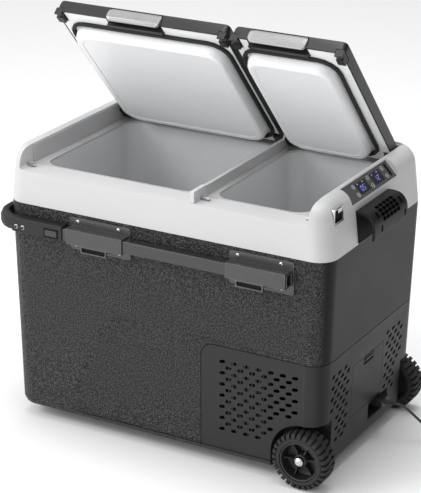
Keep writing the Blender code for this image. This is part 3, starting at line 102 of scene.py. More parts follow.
PITCH_R, PITCH_Z = 0.00520, 0.00508
TURNS, LAYERS, STEPS = 4, 4, 30


def coil_points():
    """Turns laid side by side, four wide and four high, each layer worked back over the last."""
    pts = []
    for layer in range(LAYERS):
        inward = layer % 2 == 0
        for turn in range(TURNS):
            track = turn if inward else TURNS - 1 - turn
            nxt = track + (1 if inward else -1)
            last = layer == LAYERS - 1 and turn == TURNS - 1
            for k in range(STEPS):
                f = k / STEPS
                if last and f > 0.2501:
                    break
                tr = track
                if turn < TURNS - 1:
                    tr = track + (nxt - track) * ease((f - 5 / 6) * 6)
                lift = layer
                if turn == 0 and layer > 0:
                    lift = layer - 1 + ease(f * 6)
                a = math.radians(-90) + 2 * math.pi * f
                r = COIL_EDGE - PITCH_R * tr
                pts.append(Vector((COIL_C[0] + r * math.cos(a), COIL_C[1] + r * math.sin(a), FLOOR_Z + PITCH_Z * lift)))
    return pts


lead_pts = catmull(ROUTE, 4)
lead_pts += [Vector((COIL_C[0] - 0.0200 + 0.0067 * k, COIL_C[1] - COIL_EDGE, FLOOR_Z)) for k in (1, 2)]
coil = coil_points()
lead_pts += coil
end = coil[-1]
car_x, car_y, car_z = COIL_C[0] + COIL_EDGE, COIL_C[1], -GROUND + 0.0108
for k in range(1, 7):
    t = k / 6
    y = end.y + (car_y + 0.0222 - end.y) * t
    z = end.z + (car_z - end.z) * ease(t)
    lead_pts.append(Vector((car_x, y, z)))


def tube(name, pts, radius, sides=10):
    """Round tube along a line, with parallel-carried rings and closed ends."""
    pts = [Vector(q) for q in pts]
    bm = bmesh.new()
    t0 = (pts[1] - pts[0]).normalized()
    u = t0.orthogonal().normalized()
    rows = []
    for i, q in enumerate(pts):
        t = (pts[min(i + 1, len(pts) - 1)] - pts[max(i - 1, 0)]).normalized()
        u = (u - t * u.dot(t)).normalized()
        v = t.cross(u)
        rows.append([bm.verts.new(q + (u * math.cos(2 * math.pi * k / sides) + v * math.sin(2 * math.pi * k / sides)) * radius) for k in range(sides)])
    for ra, rb in zip(rows, rows[1:]):
        for k in range(sides):
            j = (k + 1) % sides
            bm.faces.new((ra[k], ra[j], rb[j], rb[k]))
    bm.faces.new(list(reversed(rows[0])))
    bm.faces.new(rows[-1])
    bmesh.ops.recalc_face_normals(bm, faces=bm.faces)
    me = bpy.data.meshes.new(name)
    bm.to_mesh(me)
    bm.free()
    for f in me.polygons:
        f.use_smooth = True
    me.set_sharp_from_angle(angle=math.radians(60))
    o = bpy.data.objects.new(name, me)
    bpy.context.scene.collection.objects.link(o)
    return o


lead = tube("lead", [W(*p) for p in lead_pts], CORD_R)
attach(lead, "case")
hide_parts("dc_lead", "lead_coil")

# ------------------------------------------------------------------ materials


def lin(v):
    v = v / 255.0
    return v / 12.92 if v <= 0.04045 else ((v + 0.055) / 1.055) ** 2.4


def srgb(r, g=None, b=None):
    g, b = (r if g is None else g), (r if b is None else b)
    return (lin(r), lin(g), lin(b))


def nodes_of(name):
    mat = bpy.data.materials.new(name)
    mat.use_nodes = True
    nt = mat.node_tree
    return mat, nt, nt.nodes["Principled BSDF"]


def link(nt, a, b):
    nt.links.new(a, b)


def plastic(
    name, rgb, rough=0.5, grain=900.0, bump=0.06, dist=0.0004, mottle=0.10, mottle_scale=22.0, edge_wear_and_highlight=0.0, edge_wear_and_highlight_rgb=None,
    pebble=0.0, pebble_scale=420.0, rough_var=0.08, metallic=0.0, coat=0.0, spec=0.5, stretch=None, painted_glint_flecks=0.0, ends=None,
):
    """Moulded or coated surface: fine grain, cloudy tone, lighter edges that are partly wear and partly painted
    highlight; where asked, light flecks as painted glints and a darker painted shade on the end faces.
    """
    mat, nt, b = nodes_of(name)
    N = nt.nodes.new
    co = N("ShaderNodeTexCoord")
    src = co.outputs["Object"]
    if stretch:
        mp = N("ShaderNodeMapping")
        mp.inputs["Scale"].default_value = stretch
        link(nt, src, mp.inputs["Vector"])
        src_g = mp.outputs["Vector"]
    else:
        src_g = src
    b.inputs["Metallic"].default_value = metallic
    b.inputs["Specular IOR Level"].default_value = spec
    if coat:
        b.inputs["Coat Weight"].default_value = coat
        b.inputs["Coat Roughness"].default_value = 0.12
    mask = None
    if ends:
        # how far the face looks along the object's depth: 1 on the front and rear, 0 on the ends; the ends take a
        # darker colour, painted shade on the end faces
        sep = N("ShaderNodeSeparateXYZ")
        link(nt, co.outputs["Normal"], sep.inputs[0])
        ab = N("ShaderNodeMath")
        ab.operation = "ABSOLUTE"
        link(nt, sep.outputs["Y"], ab.inputs[0])
        mk = N("ShaderNodeMapRange")
        mk.interpolation_type = "SMOOTHSTEP"
        mk.inputs["From Min"].default_value = 0.55
        mk.inputs["From Max"].default_value = 0.92
        link(nt, ab.outputs[0], mk.inputs["Value"])
        mask = mk.outputs["Result"]
    # tone
    n1 = N("ShaderNodeTexNoise")
    n1.inputs["Scale"].default_value = mottle_scale
    n1.inputs["Detail"].default_value = 4.0
    n1.inputs["Roughness"].default_value = 0.6
    link(nt, src, n1.inputs["Vector"])
    mix = N("ShaderNodeMix")
    mix.data_type = "RGBA"
    lo = [c * (1 - mottle) for c in rgb]
    hi = [min(c * (1 + mottle), 1.0) for c in rgb]
    mix.inputs["A"].default_value = (*lo, 1)
    mix.inputs["B"].default_value = (*hi, 1)
    link(nt, n1.outputs["Fac"], mix.inputs["Factor"])
    colour = mix.outputs["Result"]
    # grain
    n2 = N("ShaderNodeTexNoise")
    n2.inputs["Scale"].default_value = grain
    n2.inputs["Detail"].default_value = 2.0
    link(nt, src_g, n2.inputs["Vector"])
    height = n2.outputs["Fac"]
    if pebble:
        v = N("ShaderNodeTexVoronoi")
        v.feature = "SMOOTH_F1"
        v.inputs["Scale"].default_value = pebble_scale
        v.inputs["Smoothness"].default_value = 0.6
        link(nt, src, v.inputs["Vector"])
        add = N("ShaderNodeMath")
        add.operation = "MULTIPLY_ADD"
        link(nt, v.outputs["Distance"], add.inputs[0])
        add.inputs[1].default_value = -pebble
        link(nt, n2.outputs["Fac"], add.inputs[2])
        height = add.outputs[0]
        if painted_glint_flecks:
            # light flecks mixed into the colour: painted glints on the grain
            n3 = N("ShaderNodeTexNoise")
            n3.inputs["Scale"].default_value = pebble_scale * 1.15
            n3.inputs["Detail"].default_value = 3.0
            link(nt, src, n3.inputs["Vector"])
            ramp = N("ShaderNodeMapRange")
            ramp.inputs["From Min"].default_value = 0.43
            ramp.inputs["From Max"].default_value = 0.62
            ramp.inputs["To Min"].default_value = 0.0
            ramp.inputs["To Max"].default_value = painted_glint_flecks
            link(nt, n3.outputs["Fac"], ramp.inputs["Value"])
            m3 = N("ShaderNodeMix")
            m3.data_type = "RGBA"
            link(nt, ramp.outputs["Result"], m3.inputs["Factor"])
            link(nt, colour, m3.inputs["A"])
            m3.inputs["B"].default_value = (*[min(c * 4.0 + 0.035, 1) for c in rgb], 1)
            colour = m3.outputs["Result"]
    # painted shade: the end faces take the darker colour given as ends
    if mask is not None:
        m4 = N("ShaderNodeMix")
        m4.data_type = "RGBA"
        link(nt, mask, m4.inputs["Factor"])
        m4.inputs["A"].default_value = (*ends, 1)
        link(nt, colour, m4.inputs["B"])
        colour = m4.outputs["Result"]
    bp = N("ShaderNodeBump")
    bp.inputs["Strength"].default_value = bump
    if mask is not None:
        bs = N("ShaderNodeMath")
        bs.operation = "MULTIPLY_ADD"
        link(nt, mask, bs.inputs[0])
        bs.inputs[1].default_value = bump * 0.92
        bs.inputs[2].default_value = bump * 0.08
        link(nt, bs.outputs[0], bp.inputs["Strength"])
    bp.inputs["Distance"].default_value = dist
    link(nt, height, bp.inputs["Height"])
    link(nt, bp.outputs["Normal"], b.inputs["Normal"])
    # lighter edges: partly wear, partly a painted highlight where the edges catch the light
    if edge_wear_and_highlight:
        bv = N("ShaderNodeBevel")
        bv.samples = 4
        bv.inputs["Radius"].default_value = 0.0014
        geo = N("ShaderNodeNewGeometry")
        dot = N("ShaderNodeVectorMath")
        dot.operation = "DOT_PRODUCT"
        link(nt, bv.outputs["Normal"], dot.inputs[0])
        link(nt, geo.outputs["Normal"], dot.inputs[1])
        mr = N("ShaderNodeMapRange")
        mr.inputs["From Min"].default_value = 0.99
        mr.inputs["From Max"].default_value = 0.80
        mr.inputs["To Min"].default_value = 0.0
        mr.inputs["To Max"].default_value = edge_wear_and_highlight
        link(nt, dot.outputs["Value"], mr.inputs["Value"])
        mm = N("ShaderNodeMath")
        mm.operation = "MULTIPLY"
        link(nt, mr.outputs["Result"], mm.inputs[0])
        link(nt, n1.outputs["Fac"], mm.inputs[1])
        m2 = N("ShaderNodeMix")
        m2.data_type = "RGBA"
        link(nt, mm.outputs[0], m2.inputs["Factor"])
        link(nt, colour, m2.inputs["A"])
        m2.inputs["B"].default_value = (*(edge_wear_and_highlight_rgb or [min(c * 2.2 + 0.02, 1) for c in rgb]), 1)
        colour = m2.outputs["Result"]
    link(nt, colour, b.inputs["Base Color"])
    # roughness
    rr = N("ShaderNodeMapRange")
    rr.inputs["To Min"].default_value = max(rough - rough_var, 0.02)
    rr.inputs["To Max"].default_value = min(rough + rough_var, 1.0)
    link(nt, n1.outputs["Fac"], rr.inputs["Value"])
    link(nt, rr.outputs["Result"], b.inputs["Roughness"])
    return mat


# on these two the end faces take a darker colour (ends=), painted shade for the side lighting
M_FRONT = plastic("moulded_textured", srgb(24), 0.42, 700, 1.0, 0.0014, 0.05, 12, edge_wear_and_highlight=0.30, pebble=2.0, pebble_scale=330, painted_glint_flecks=0.9, ends=srgb(8), spec=0.20, rough_var=0.05)
M_SMOOTH = plastic("moulded_satin", srgb(38), 0.42, 2200, 0.10, 0.0003, 0.05, 16, edge_wear_and_highlight=0.35, ends=srgb(14), spec=0.25)
M_FRAME = plastic("frame_light_grey", srgb(190, 190, 191), 0.40, 1600, 0.05, 0.0003, 0.022, 9, edge_wear_and_highlight=0.25, edge_wear_and_highlight_rgb=srgb(225), rough_var=0.05)
M_DECK = plastic("deck_mid_grey", srgb(178, 178, 179), 0.45, 1700, 0.06, 0.0003, 0.05, 14, edge_wear_and_highlight=0.25, edge_wear_and_highlight_rgb=srgb(185))
M_TUB = plastic("tub_grey", srgb(212, 213, 214), 0.38, 1200, 0.05, 0.0004, 0.06, 18, edge_wear_and_highlight=0.2, edge_wear_and_highlight_rgb=srgb(180))
M_FOAM = plastic("insulation", srgb(214, 200, 160), 0.92, 300, 0.5, 0.0012, 0.12, 60)
M_LID = plastic("lid_satin_black", srgb(22), 0.40, 1900, 0.10, 0.0003, 0.06, 16, edge_wear_and_highlight=0.4)
M_LINER = plastic("liner_white", srgb(230, 231, 232), 0.34, 900, 0.03, 0.0003, 0.02, 8, edge_wear_and_highlight=0.2, edge_wear_and_highlight_rgb=srgb(245), coat=0.15)
M_GASKET = plastic("gasket_rubber", srgb(32), 0.72, 1800, 0.2, 0.0004, 0.12, 30, spec=0.3)
M_LATCH = plastic("latch_brushed_silver", srgb(150, 150, 151), 0.34, 700, 0.05, 0.0002, 0.10, 60, edge_wear_and_highlight=0.5, edge_wear_and_highlight_rgb=srgb(190), metallic=0.35, stretch=(0.06, 1, 1))
M_LOCK = plastic("lock_black", srgb(24), 0.45, 1500, 0.1, 0.0003, 0.10, 30, edge_wear_and_highlight=0.3)
M_PANEL = plastic("panel_film", srgb(78, 79, 80), 0.24, 2600, 0.03, 0.0002, 0.05, 20, coat=0.4)
M_DISPLAY = plastic("display_window", srgb(22, 23, 34), 0.10, 3000, 0.01, 0.0001, 0.08, 40, coat=0.8)
M_KEY = plastic("key_cap", srgb(42, 43, 44), 0.42, 2400, 0.08, 0.0002, 0.06, 80, edge_wear_and_highlight=0.4)
M_CHROME = plastic("bright_chrome", (0.55, 0.55, 0.57), 0.20, 900, 0.02, 0.0002, 0.05, 90, metallic=1.0, rough_var=0.05)
M_ZINC = plastic("zinc_bright", (0.62, 0.63, 0.66), 0.28, 1400, 0.10, 0.0002, 0.10, 220, metallic=1.0)
M_HANDLE = plastic("hood_satin", srgb(14), 0.50, 2000, 0.12, 0.0003, 0.06, 24, edge_wear_and_highlight=0.35, spec=0.3)
M_BAY = plastic("bay_matt", srgb(34), 0.60, 1500, 0.10, 0.0003, 0.08, 24)
# guides and bars: the light edge colour is a painted highlight along their edges
M_GUIDE = plastic("powder_coat", srgb(50), 0.30, 2600, 0.16, 0.0002, 0.08, 30, edge_wear_and_highlight=0.9, edge_wear_and_highlight_rgb=srgb(150), coat=0.35)
M_BAR = plastic("anodised_black", srgb(46), 0.24, 1200, 0.06, 0.0002, 0.06, 30, edge_wear_and_highlight=1.0, edge_wear_and_highlight_rgb=srgb(150), coat=0.35, metallic=0.2, stretch=(0.05, 1, 1))
M_GRIP = plastic("grip_grain", srgb(25), 0.52, 1300, 0.30, 0.0004, 0.08, 40, edge_wear_and_highlight=0.3, spec=0.35, pebble=0.8, pebble_scale=900)
M_BUTTON = plastic("button_matt", srgb(44), 0.45, 2000, 0.12, 0.0003, 0.06, 60, edge_wear_and_highlight=0.5)
M_TYRE = plastic("tyre_rubber", srgb(36), 0.70, 1100, 0.28, 0.0005, 0.14, 45, edge_wear_and_highlight=0.45, edge_wear_and_highlight_rgb=srgb(72), spec=0.35)
M_RIM = plastic("rim_plastic", srgb(30), 0.42, 1900, 0.12, 0.0003, 0.08, 30, edge_wear_and_highlight=0.5)
M_FOOT = plastic("foot_rubber", srgb(28), 0.80, 1500, 0.2, 0.0004, 0.10, 30, spec=0.3)
M_TRAY = plastic("zinc_tray", srgb(26), 0.60, 1500, 0.10, 0.0003, 0.10, 40)
M_CAN = plastic("compressor_paint", srgb(26), 0.28, 700, 0.12, 0.0004, 0.10, 30, coat=0.4, edge_wear_and_highlight=0.3)
M_FIN = plastic("bare_aluminium", (0.085, 0.085, 0.09), 0.50, 900, 0.06, 0.0002, 0.10, 160, metallic=0.5)
M_FAN = plastic("fan_black", srgb(22), 0.45, 1900, 0.08, 0.0002, 0.06, 30)
M_LEAD = plastic("lead_pvc", srgb(44), 0.46, 1500, 0.08, 0.0002, 0.08, 90)
M_PLUG = plastic("plug_moulding", srgb(30), 0.42, 1600, 0.12, 0.0003, 0.08, 50, edge_wear_and_highlight=0.3)
M_TIE = plastic("tie_velour", srgb(30), 0.90, 2600, 0.5, 0.0005, 0.15, 150, spec=0.2)
# near-black for recesses, holes and the hollow under the side handle: painted shade
M_SHADE = plastic("recess_painted_shade", srgb(10), 0.75, 1500, 0.1, 0.0003, 0.08, 60, spec=0.2)
M_MARK = plastic("print_grey", srgb(235, 236, 238), 0.55, 2500, 0.03, 0.0001, 0.05, 200)


def glow(name, rgb, strength):
    mat, nt, b = nodes_of(name)
    n = nt.nodes.new("ShaderNodeTexNoise")
    n.inputs["Scale"].default_value = 1400.0
    co = nt.nodes.new("ShaderNodeTexCoord")
    link(nt, co.outputs["Object"], n.inputs["Vector"])
    mix = nt.nodes.new("ShaderNodeMix")
    mix.data_type = "RGBA"
    mix.inputs["A"].default_value = (*[c * 0.85 for c in rgb], 1)
    mix.inputs["B"].default_value = (*rgb, 1)
    link(nt, n.outputs["Fac"], mix.inputs["Factor"])
    link(nt, mix.outputs["Result"], b.inputs["Base Color"])
    b.inputs["Emission Color"].default_value = (*rgb, 1)
    b.inputs["Emission Strength"].default_value = strength
    b.inputs["Roughness"].default_value = 0.3
    return mat


M_DIGIT = glow("digit_segments", srgb(120, 130, 235), 0.55)

ASSIGN = {
    M_FRONT: ["outer_shell"],
    M_SMOOTH: ["compressor_cover", "battery_hatch", "hatch_latch"],
    M_FRAME: ["top_frame"], M_DECK: ["inner_deck"], M_TUB: ["left_tub", "right_tub"], M_FOAM: ["insulation_foam"],
    M_CHROME: ["front_pin_left", "front_pin_middle", "front_pin_right", "rear_pin_left", "rear_pin_middle", "rear_pin_right", "bottle_opener"],
    M_LID: ["left_lid_shell", "right_lid_shell"], M_LINER: ["left_lid_liner", "right_lid_liner"],
    M_GASKET: ["left_gasket", "right_gasket"],
    M_LATCH: ["left_front_latch", "right_front_latch", "left_rear_latch", "right_rear_latch"],
    M_LOCK: ["left_lock_bar", "right_lock_bar"],
    M_PANEL: ["control_panel"], M_DISPLAY: ["display_board"], M_KEY: ["key_%d" % i for i in range(1, 7)],
    M_HANDLE: ["side_grab_handle"], M_BAY: ["service_bay"], M_GUIDE: ["front_rail_guides", "rear_rail_guides"],
    M_BAR: ["handle_bar_front", "handle_bar_rear"], M_GRIP: ["handle_grip"], M_BUTTON: ["release_button_front", "release_button_rear"],
    M_TYRE: ["front_tyre", "rear_tyre"], M_RIM: ["front_rim", "rear_rim"], M_ZINC: ["axle"], M_FOOT: ["foot_strip"],
    M_TRAY: ["base_tray"], M_CAN: ["compressor"], M_FIN: ["condenser"], M_FAN: ["fan_frame", "fan_rotor"],
    M_LEAD: ["dc_lead", "lead_coil"], M_PLUG: ["dc_plug", "car_plug"],
}
done = set()
for mat, names in ASSIGN.items():
    for n in names:
        o = NODES[n]
        o.data.materials.clear()
        o.data.materials.append(mat)
        done.add(n)
assert done == set(NODES), sorted(set(NODES) - done)
lead.data.materials.append(M_LEAD)


# ------------------------------------------------------------------ rounded edges on the CAD pieces
def soften(node, width, segments=2, angle=32.0):
    o = NODES[node]
    if "custom_normal" in o.data.attributes:
        o.data.attributes.remove(o.data.attributes["custom_normal"])
    for p in o.data.polygons:
        p.use_smooth = True
    w = o.modifiers.new("weld", "WELD")
    w.merge_threshold = 0.00002
    if width:
        bv = o.modifiers.new("edge", "BEVEL")
        bv.width = width
        bv.segments = segments
        bv.limit_method = "ANGLE"
        bv.angle_limit = math.radians(angle)
        bv.harden_normals = False
        bv.use_clamp_overlap = True
        bv.miter_outer = "MITER_ARC"
    wn = o.modifiers.new("normals", "WEIGHTED_NORMAL")
    wn.keep_sharp = False
    wn.weight = 80


for n, width in {
    "outer_shell": 0.0007, "compressor_cover": 0.0005, "battery_hatch": 0.0005, "hatch_latch": 0.0004, "top_frame": 0.0012,
    "inner_deck": 0.0008, "left_tub": 0.0008, "right_tub": 0.0008, "insulation_foam": 0.0008, "left_lid_shell": 0.0008,
    "right_lid_shell": 0.0008, "left_lid_liner": 0.0, "right_lid_liner": 0.0, "left_gasket": 0.0010, "right_gasket": 0.0010,
    "left_lock_bar": 0.0005, "right_lock_bar": 0.0005, "control_panel": 0.0005, "display_board": 0.0002, "side_grab_handle": 0.0007,
    "service_bay": 0.0006, "front_rail_guides": 0.0007, "rear_rail_guides": 0.0007, "handle_bar_front": 0.0012,
    "handle_bar_rear": 0.0012, "handle_grip": 0.0013, "release_button_front": 0.0004, "release_button_rear": 0.0004,
    "foot_strip": 0.0012, "base_tray": 0.0006, "compressor": 0.0010, "condenser": 0.0003, "fan_frame": 0.0006, "fan_rotor": 0.0004,
    "axle": 0.0004, "dc_plug": 0.0006, "car_plug": 0.0008, "bottle_opener": 0.0005,
    "left_front_latch": 0.0006, "right_front_latch": 0.0006, "left_rear_latch": 0.0006, "right_rear_latch": 0.0006,
}.items():
    soften(n, width)
for n in NODES:
    if n.startswith("key_") or "_pin_" in n:
        soften(n, 0.0003)


def crisp(node, flat):
    """Shades the chosen faces flat, so that shallow steps and large planes read as they are."""
    o = NODES[node]
    me, world_of = o.data, o.matrix_world
    turn = world_of.to_3x3()
    for q in me.polygons:
        if flat(world_of @ q.center - W(0, 0, 0), (turn @ q.normal).normalized()):
            q.use_smooth = False
    if "sharp_edge" in me.attributes:
        me.attributes.remove(me.attributes["sharp_edge"])
    o.modifiers["normals"].keep_sharp = True


def front_face(q, n):
    return -0.28 < q.x < 0.286 and q.y < -0.185 and -0.42 < q.z < -0.01 and n.y < -0.9


crisp("outer_shell", front_face)
crisp("compressor_cover", front_face)
LID_FACE = Vector((0, math.sin(math.radians(-47.9)), -math.cos(math.radians(47.9))))
for n in ("left_lid_liner", "right_lid_liner"):
    crisp(n, lambda q, n: abs(n.dot(LID_FACE)) > 0.995)


# ------------------------------------------------------------------ floor, light
def stage_plane():
    bm = bmesh.new()
    n, ext = 2, 9.0
    vs = [bm.verts.new((x, y, -0.0004)) for x, y in ((-ext, -ext), (ext, -ext), (ext, ext), (-ext, ext))]
    bm.faces.new(vs)
    me = bpy.data.meshes.new("floor")
    bm.to_mesh(me)
    o = bpy.data.objects.new("floor", me)
    bpy.context.scene.collection.objects.link(o)
    mat, nt, b = nodes_of("floor_pale")
    b.inputs["Base Color"].default_value = (0.90, 0.90, 0.905, 1)
    b.inputs["Roughness"].default_value = 0.85
    b.inputs["Specular IOR Level"].default_value = 0.1
    me.materials.append(mat)


stage_plane()
scene = bpy.context.scene
world = bpy.data.worlds.new("studio")
scene.world = world
world.use_nodes = True
bg = world.node_tree.nodes["Background"]
bg.inputs["Color"].default_value = (1.0, 1.0, 1.0, 1)
# the room is brighter ahead and to the left than to the right
wt = world.node_tree
w_co = wt.nodes.new("ShaderNodeTexCoord")
w_dot = wt.nodes.new("ShaderNodeVectorMath")
w_dot.operation = "DOT_PRODUCT"
w_dot.inputs[1].default_value = (-0.72, -0.62, 0.31)
wt.links.new(w_co.outputs["Generated"], w_dot.inputs[0])
w_map = wt.nodes.new("ShaderNodeMapRange")
w_map.inputs["From Min"].default_value = -0.9
w_map.inputs["From Max"].default_value = 0.9
w_map.inputs["To Min"].default_value = 0.02
w_map.inputs["To Max"].default_value = 1.26
wt.links.new(w_dot.outputs["Value"], w_map.inputs["Value"])
wt.links.new(w_map.outputs["Result"], bg.inputs["Strength"])


def area(name, loc, target, size, power, colour=(1, 1, 1), size_y=None):
    d = bpy.data.lights.new(name, "AREA")
    d.shape = "RECTANGLE"
    d.size = size
    d.size_y = size_y or size
    d.energy = power
    d.color = colour
    o = bpy.data.objects.new(name, d)
    scene.collection.objects.link(o)
    o.location = loc
    o.rotation_mode = "QUATERNION"
    o.rotation_quaternion = (Vector(target) - Vector(loc)).to_track_quat("-Z", "Y")
    return o


area("key", (-2.4, -2.1, 2.6), (0, 0, 0.35), 1.4, 42)
area("top", (0.0, 0.2, 3.2), (0, 0, 0.4), 1.8, 52)
area("low_front", (-0.5, -2.6, 0.35), (0, 0, 0.66), 2.2, 15, size_y=0.6)

scene.view_settings.view_transform = "Standard"
scene.view_settings.look = "None"
scene.view_settings.exposure = 0.0
scene.view_settings.gamma = 1.0


# ------------------------------------------------------------------ helpers for new pieces
def obj_from(bm, name, mat, body, replaces=(), smooth=34.0, bevel=0.0, segments=2, sub=0):
    bmesh.ops.remove_doubles(bm, verts=bm.verts, dist=2e-6)
    bmesh.ops.recalc_face_normals(bm, faces=bm.faces)
    me = bpy.data.meshes.new(name)
    bm.to_mesh(me)
    bm.free()
    for p in me.polygons:
        p.use_smooth = True
    me.set_sharp_from_angle(angle=math.radians(smooth))
    me.materials.append(mat)
    o = bpy.data.objects.new(name, me)
    scene.collection.objects.link(o)
    if sub:
        s = o.modifiers.new("sub", "SUBSURF")
        s.levels = s.render_levels = sub
    if bevel:
        v = o.modifiers.new("edge", "BEVEL")
        v.width, v.segments, v.limit_method, v.angle_limit = bevel, segments, "ANGLE", math.radians(smooth)
        v.use_clamp_overlap = True
    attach(o, body)
    if replaces:
        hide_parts(*replaces)
    return o


def ring_bm(bm, rows, close_v=False, cap=True):
    """Skin through rows of points; rows are closed loops."""
    vs = [[bm.verts.new(p) for p in row] for row in rows]
    n = len(vs[0])
    pairs = list(zip(vs, vs[1:])) + ([(vs[-1], vs[0])] if close_v else [])
    for a, b in pairs:
        for i in range(n):
            j = (i + 1) % n
            bm.faces.new((a[i], a[j], b[j], b[i]))
    if not close_v and cap:
        bm.faces.new(list(reversed(vs[0])))
        bm.faces.new(vs[-1])
    return bm


def frame_at(normal, hint=Vector((0, 0, 1))):
    n = Vector(normal).normalized()
    t = hint - n * hint.dot(n)
    if t.length < 1e-6:
        t = Vector((1, 0, 0)) - n * n.x
    t.normalize()
    return n, t, n.cross(t)


def turned_at(bm, centre, normal, profile, seg=24, hint=Vector((0, 0, 1))):
    """Turned piece: profile of (radius, height along the normal)."""
    n, t, s = frame_at(normal, hint)
    c = Vector(centre)
    rows = []
    for r, h in profile:
        rows.append([c + n * h + (t * math.cos(2 * math.pi * i / seg) + s * math.sin(2 * math.pi * i / seg)) * r for i in range(seg)])
    return ring_bm(bm, rows)


def block(bm, centre, normal, hint, size, depth, z0=0.0, r=0.0, seg=3):
    """Flat block standing on a surface: size (along hint, across), depth along the normal."""
    n, t, s = frame_at(normal, hint)
    c = Vector(centre)
    a, b = size[0] / 2, size[1] / 2
    pts = []
    if r:
        for cx, cy, a0 in ((a - r, b - r, 0), (-a + r, b - r, 90), (-a + r, -b + r, 180), (a - r, -b + r, 270)):
            for i in range(seg + 1):
                ang = math.radians(a0 + 90 * i / seg)
                pts.append((cx + r * math.cos(ang), cy + r * math.sin(ang)))
    else:
        pts = [(-a, -b), (a, -b), (a, b), (-a, b)]
    rows = [[c + n * h + t * u + s * v for u, v in pts] for h in (z0, z0 + depth)]
    return ring_bm(bm, rows)


# ------------------------------------------------------------------ tyres: chunky lugs over a rounded carcass
WX, WY, WZ = 0.2860, 0.1900, -0.3760


def tyre(sign, name, node, body):
    c = W(WX, sign * WY, WZ)
    bm = bmesh.new()
    seg = 112
    w = 0.0220
    prof = [
        (0.0378, -w + 0.0012), (0.0400, -w + 0.0002), (0.0430, -w + 0.0002), (0.0452, -w + 0.0022), (0.0474, -w + 0.0060), (0.0486, -w + 0.0110),
        (0.0490, 0.0), (0.0486, w - 0.0110), (0.0474, w - 0.0060), (0.0452, w - 0.0022), (0.0430, w - 0.0002), (0.0400, w - 0.0002), (0.0378, w - 0.0012),
        (0.0376, 0.0),
    ]
    rows = []
    for i in range(seg):
        a = 2 * math.pi * i / seg
        rows.append([c + Vector((r * math.cos(a), t, r * math.sin(a))) for r, t in prof])
    ring_bm(bm, rows, close_v=True)
    lugs = 28
    for k in range(lugs):
        for side in (-1, 1):
            a = 2 * math.pi * (k + (0.5 if side > 0 else 0.0)) / lugs
            half = math.radians(3.9)
            # each lug runs from the middle of the tread over the shoulder and a little way down the wall
            prof2 = [
                (0.0535, side * -0.0030, 0.80), (0.0540, side * 0.0040, 0.95), (0.0540, side * 0.0135, 1.0), (0.0534, side * 0.0175, 1.0),
                (0.0512, side * 0.0205, 1.0), (0.0478, side * 0.0217, 0.95), (0.0452, side * 0.0219, 0.75),
            ]
            rows2 = []
            for q, (r, t, wd) in enumerate(prof2):
                skew = math.radians(-1.6) * (1 - abs(t) / 0.022) * side
                a1, a2 = a + skew - half * wd, a + skew + half * wd
                base = 0.0455 if q < 5 else 0.0435
                inner_t = t * (0.86 if q >= 3 else 1.0)
                rows2.append([
                    c + Vector((base * math.cos(a1), inner_t, base * math.sin(a1))),
                    c + Vector((r * math.cos(a1), t, r * math.sin(a1))),
                    c + Vector((r * math.cos(a2), t, r * math.sin(a2))),
                    c + Vector((base * math.cos(a2), inner_t, base * math.sin(a2))),
                ])
            ring_bm(bm, rows2)
    # thin moulded line round each side wall
    for side in (-1, 1):
        rows = []
        for i in range(96):
            a = 2 * math.pi * i / 96
            rows.append([c + Vector((r * math.cos(a), side * t, r * math.sin(a))) for r, t in ((0.0404, 0.0212), (0.0406, 0.0219), (0.0413, 0.0219), (0.0416, 0.0212))])
        ring_bm(bm, rows, close_v=True)
    o = obj_from(bm, name, M_TYRE, body, (node,), smooth=38, bevel=0.00045, segments=2)
    return o


tyre(-1, "front_tyre_tread", "front_tyre", "front_wheel")
tyre(1, "rear_tyre_tread", "rear_tyre", "rear_wheel")


def rim(sign, name, node, body):
    c = W(WX, sign * WY, WZ)
    bm = bmesh.new()
    seg = 72

    def p(r, a, t):
        return c + Vector((r * math.cos(a), sign * t, r * math.sin(a)))

    # t runs outwards from the middle of the wheel
    prof = [
        (0.0373, 0.0175), (0.0371, 0.0196), (0.0358, 0.0203), (0.0343, 0.0198), (0.0337, 0.0180), (0.0333, 0.0050), (0.0326, -0.0015), (0.0300, -0.0040),
        (0.0150, -0.0050), (0.0132, -0.0044), (0.0124, 0.0060), (0.0120, 0.0118), (0.0112, 0.0130), (0.0096, 0.0133), (0.0086, 0.0128),
        (0.0080, 0.0100), (0.0056, 0.0098), (0.0056, -0.0150), (0.0130, -0.0150), (0.0135, -0.0080), (0.0320, -0.0070), (0.0336, -0.0120), (0.0345, -0.0192), (0.0373, -0.0195),
    ]
    rows = [[p(r, 2 * math.pi * i / seg, t) for r, t in prof] for i in range(seg)]
    ring_bm(bm, rows, close_v=True)
    # six blades from the hub to the barrel
    for k in range(6):
        a = 2 * math.pi * (k + 0.10) / 6
        rows = []
        for r, h, hw in ((0.0118, 0.0100, 0.0013), (0.0180, 0.0075, 0.0011), (0.0260, 0.0060, 0.0011), (0.0336, 0.0085, 0.0014)):
            s = Vector((-math.sin(a), 0, math.cos(a)))
            base = p(r, a, -0.0060)
            top = p(r, a, h)
            rows.append([base - s * hw, top - s * hw * 0.7, top + s * hw * 0.7, base + s * hw])
        ring_bm(bm, rows)
    # small pockets round the hub, raised rims
    for k in range(10):
        a = 2 * math.pi * k / 10
        q = p(0.0100, a, 0.0128)
        rows = []
        n = Vector((0, sign, 0))
        rad = Vector((math.cos(a), 0, math.sin(a)))
        tan = Vector((-math.sin(a), 0, math.cos(a)))
        for h, g in ((0.0, 1.0), (0.0011, 0.9)):
            rows.append([q + n * h + rad * u * g + tan * v * g for u, v in ((-0.0014, -0.0012), (0.0014, -0.0014), (0.0014, 0.0014), (-0.0014, 0.0012))])
        ring_bm(bm, rows)
    o = obj_from(bm, name, M_RIM, body, (node,), smooth=36, bevel=0.0003, segments=2)
    return o


rim(-1, "front_rim_dish", "front_rim", "front_wheel")
rim(1, "rear_rim_dish", "rear_rim", "rear_wheel")

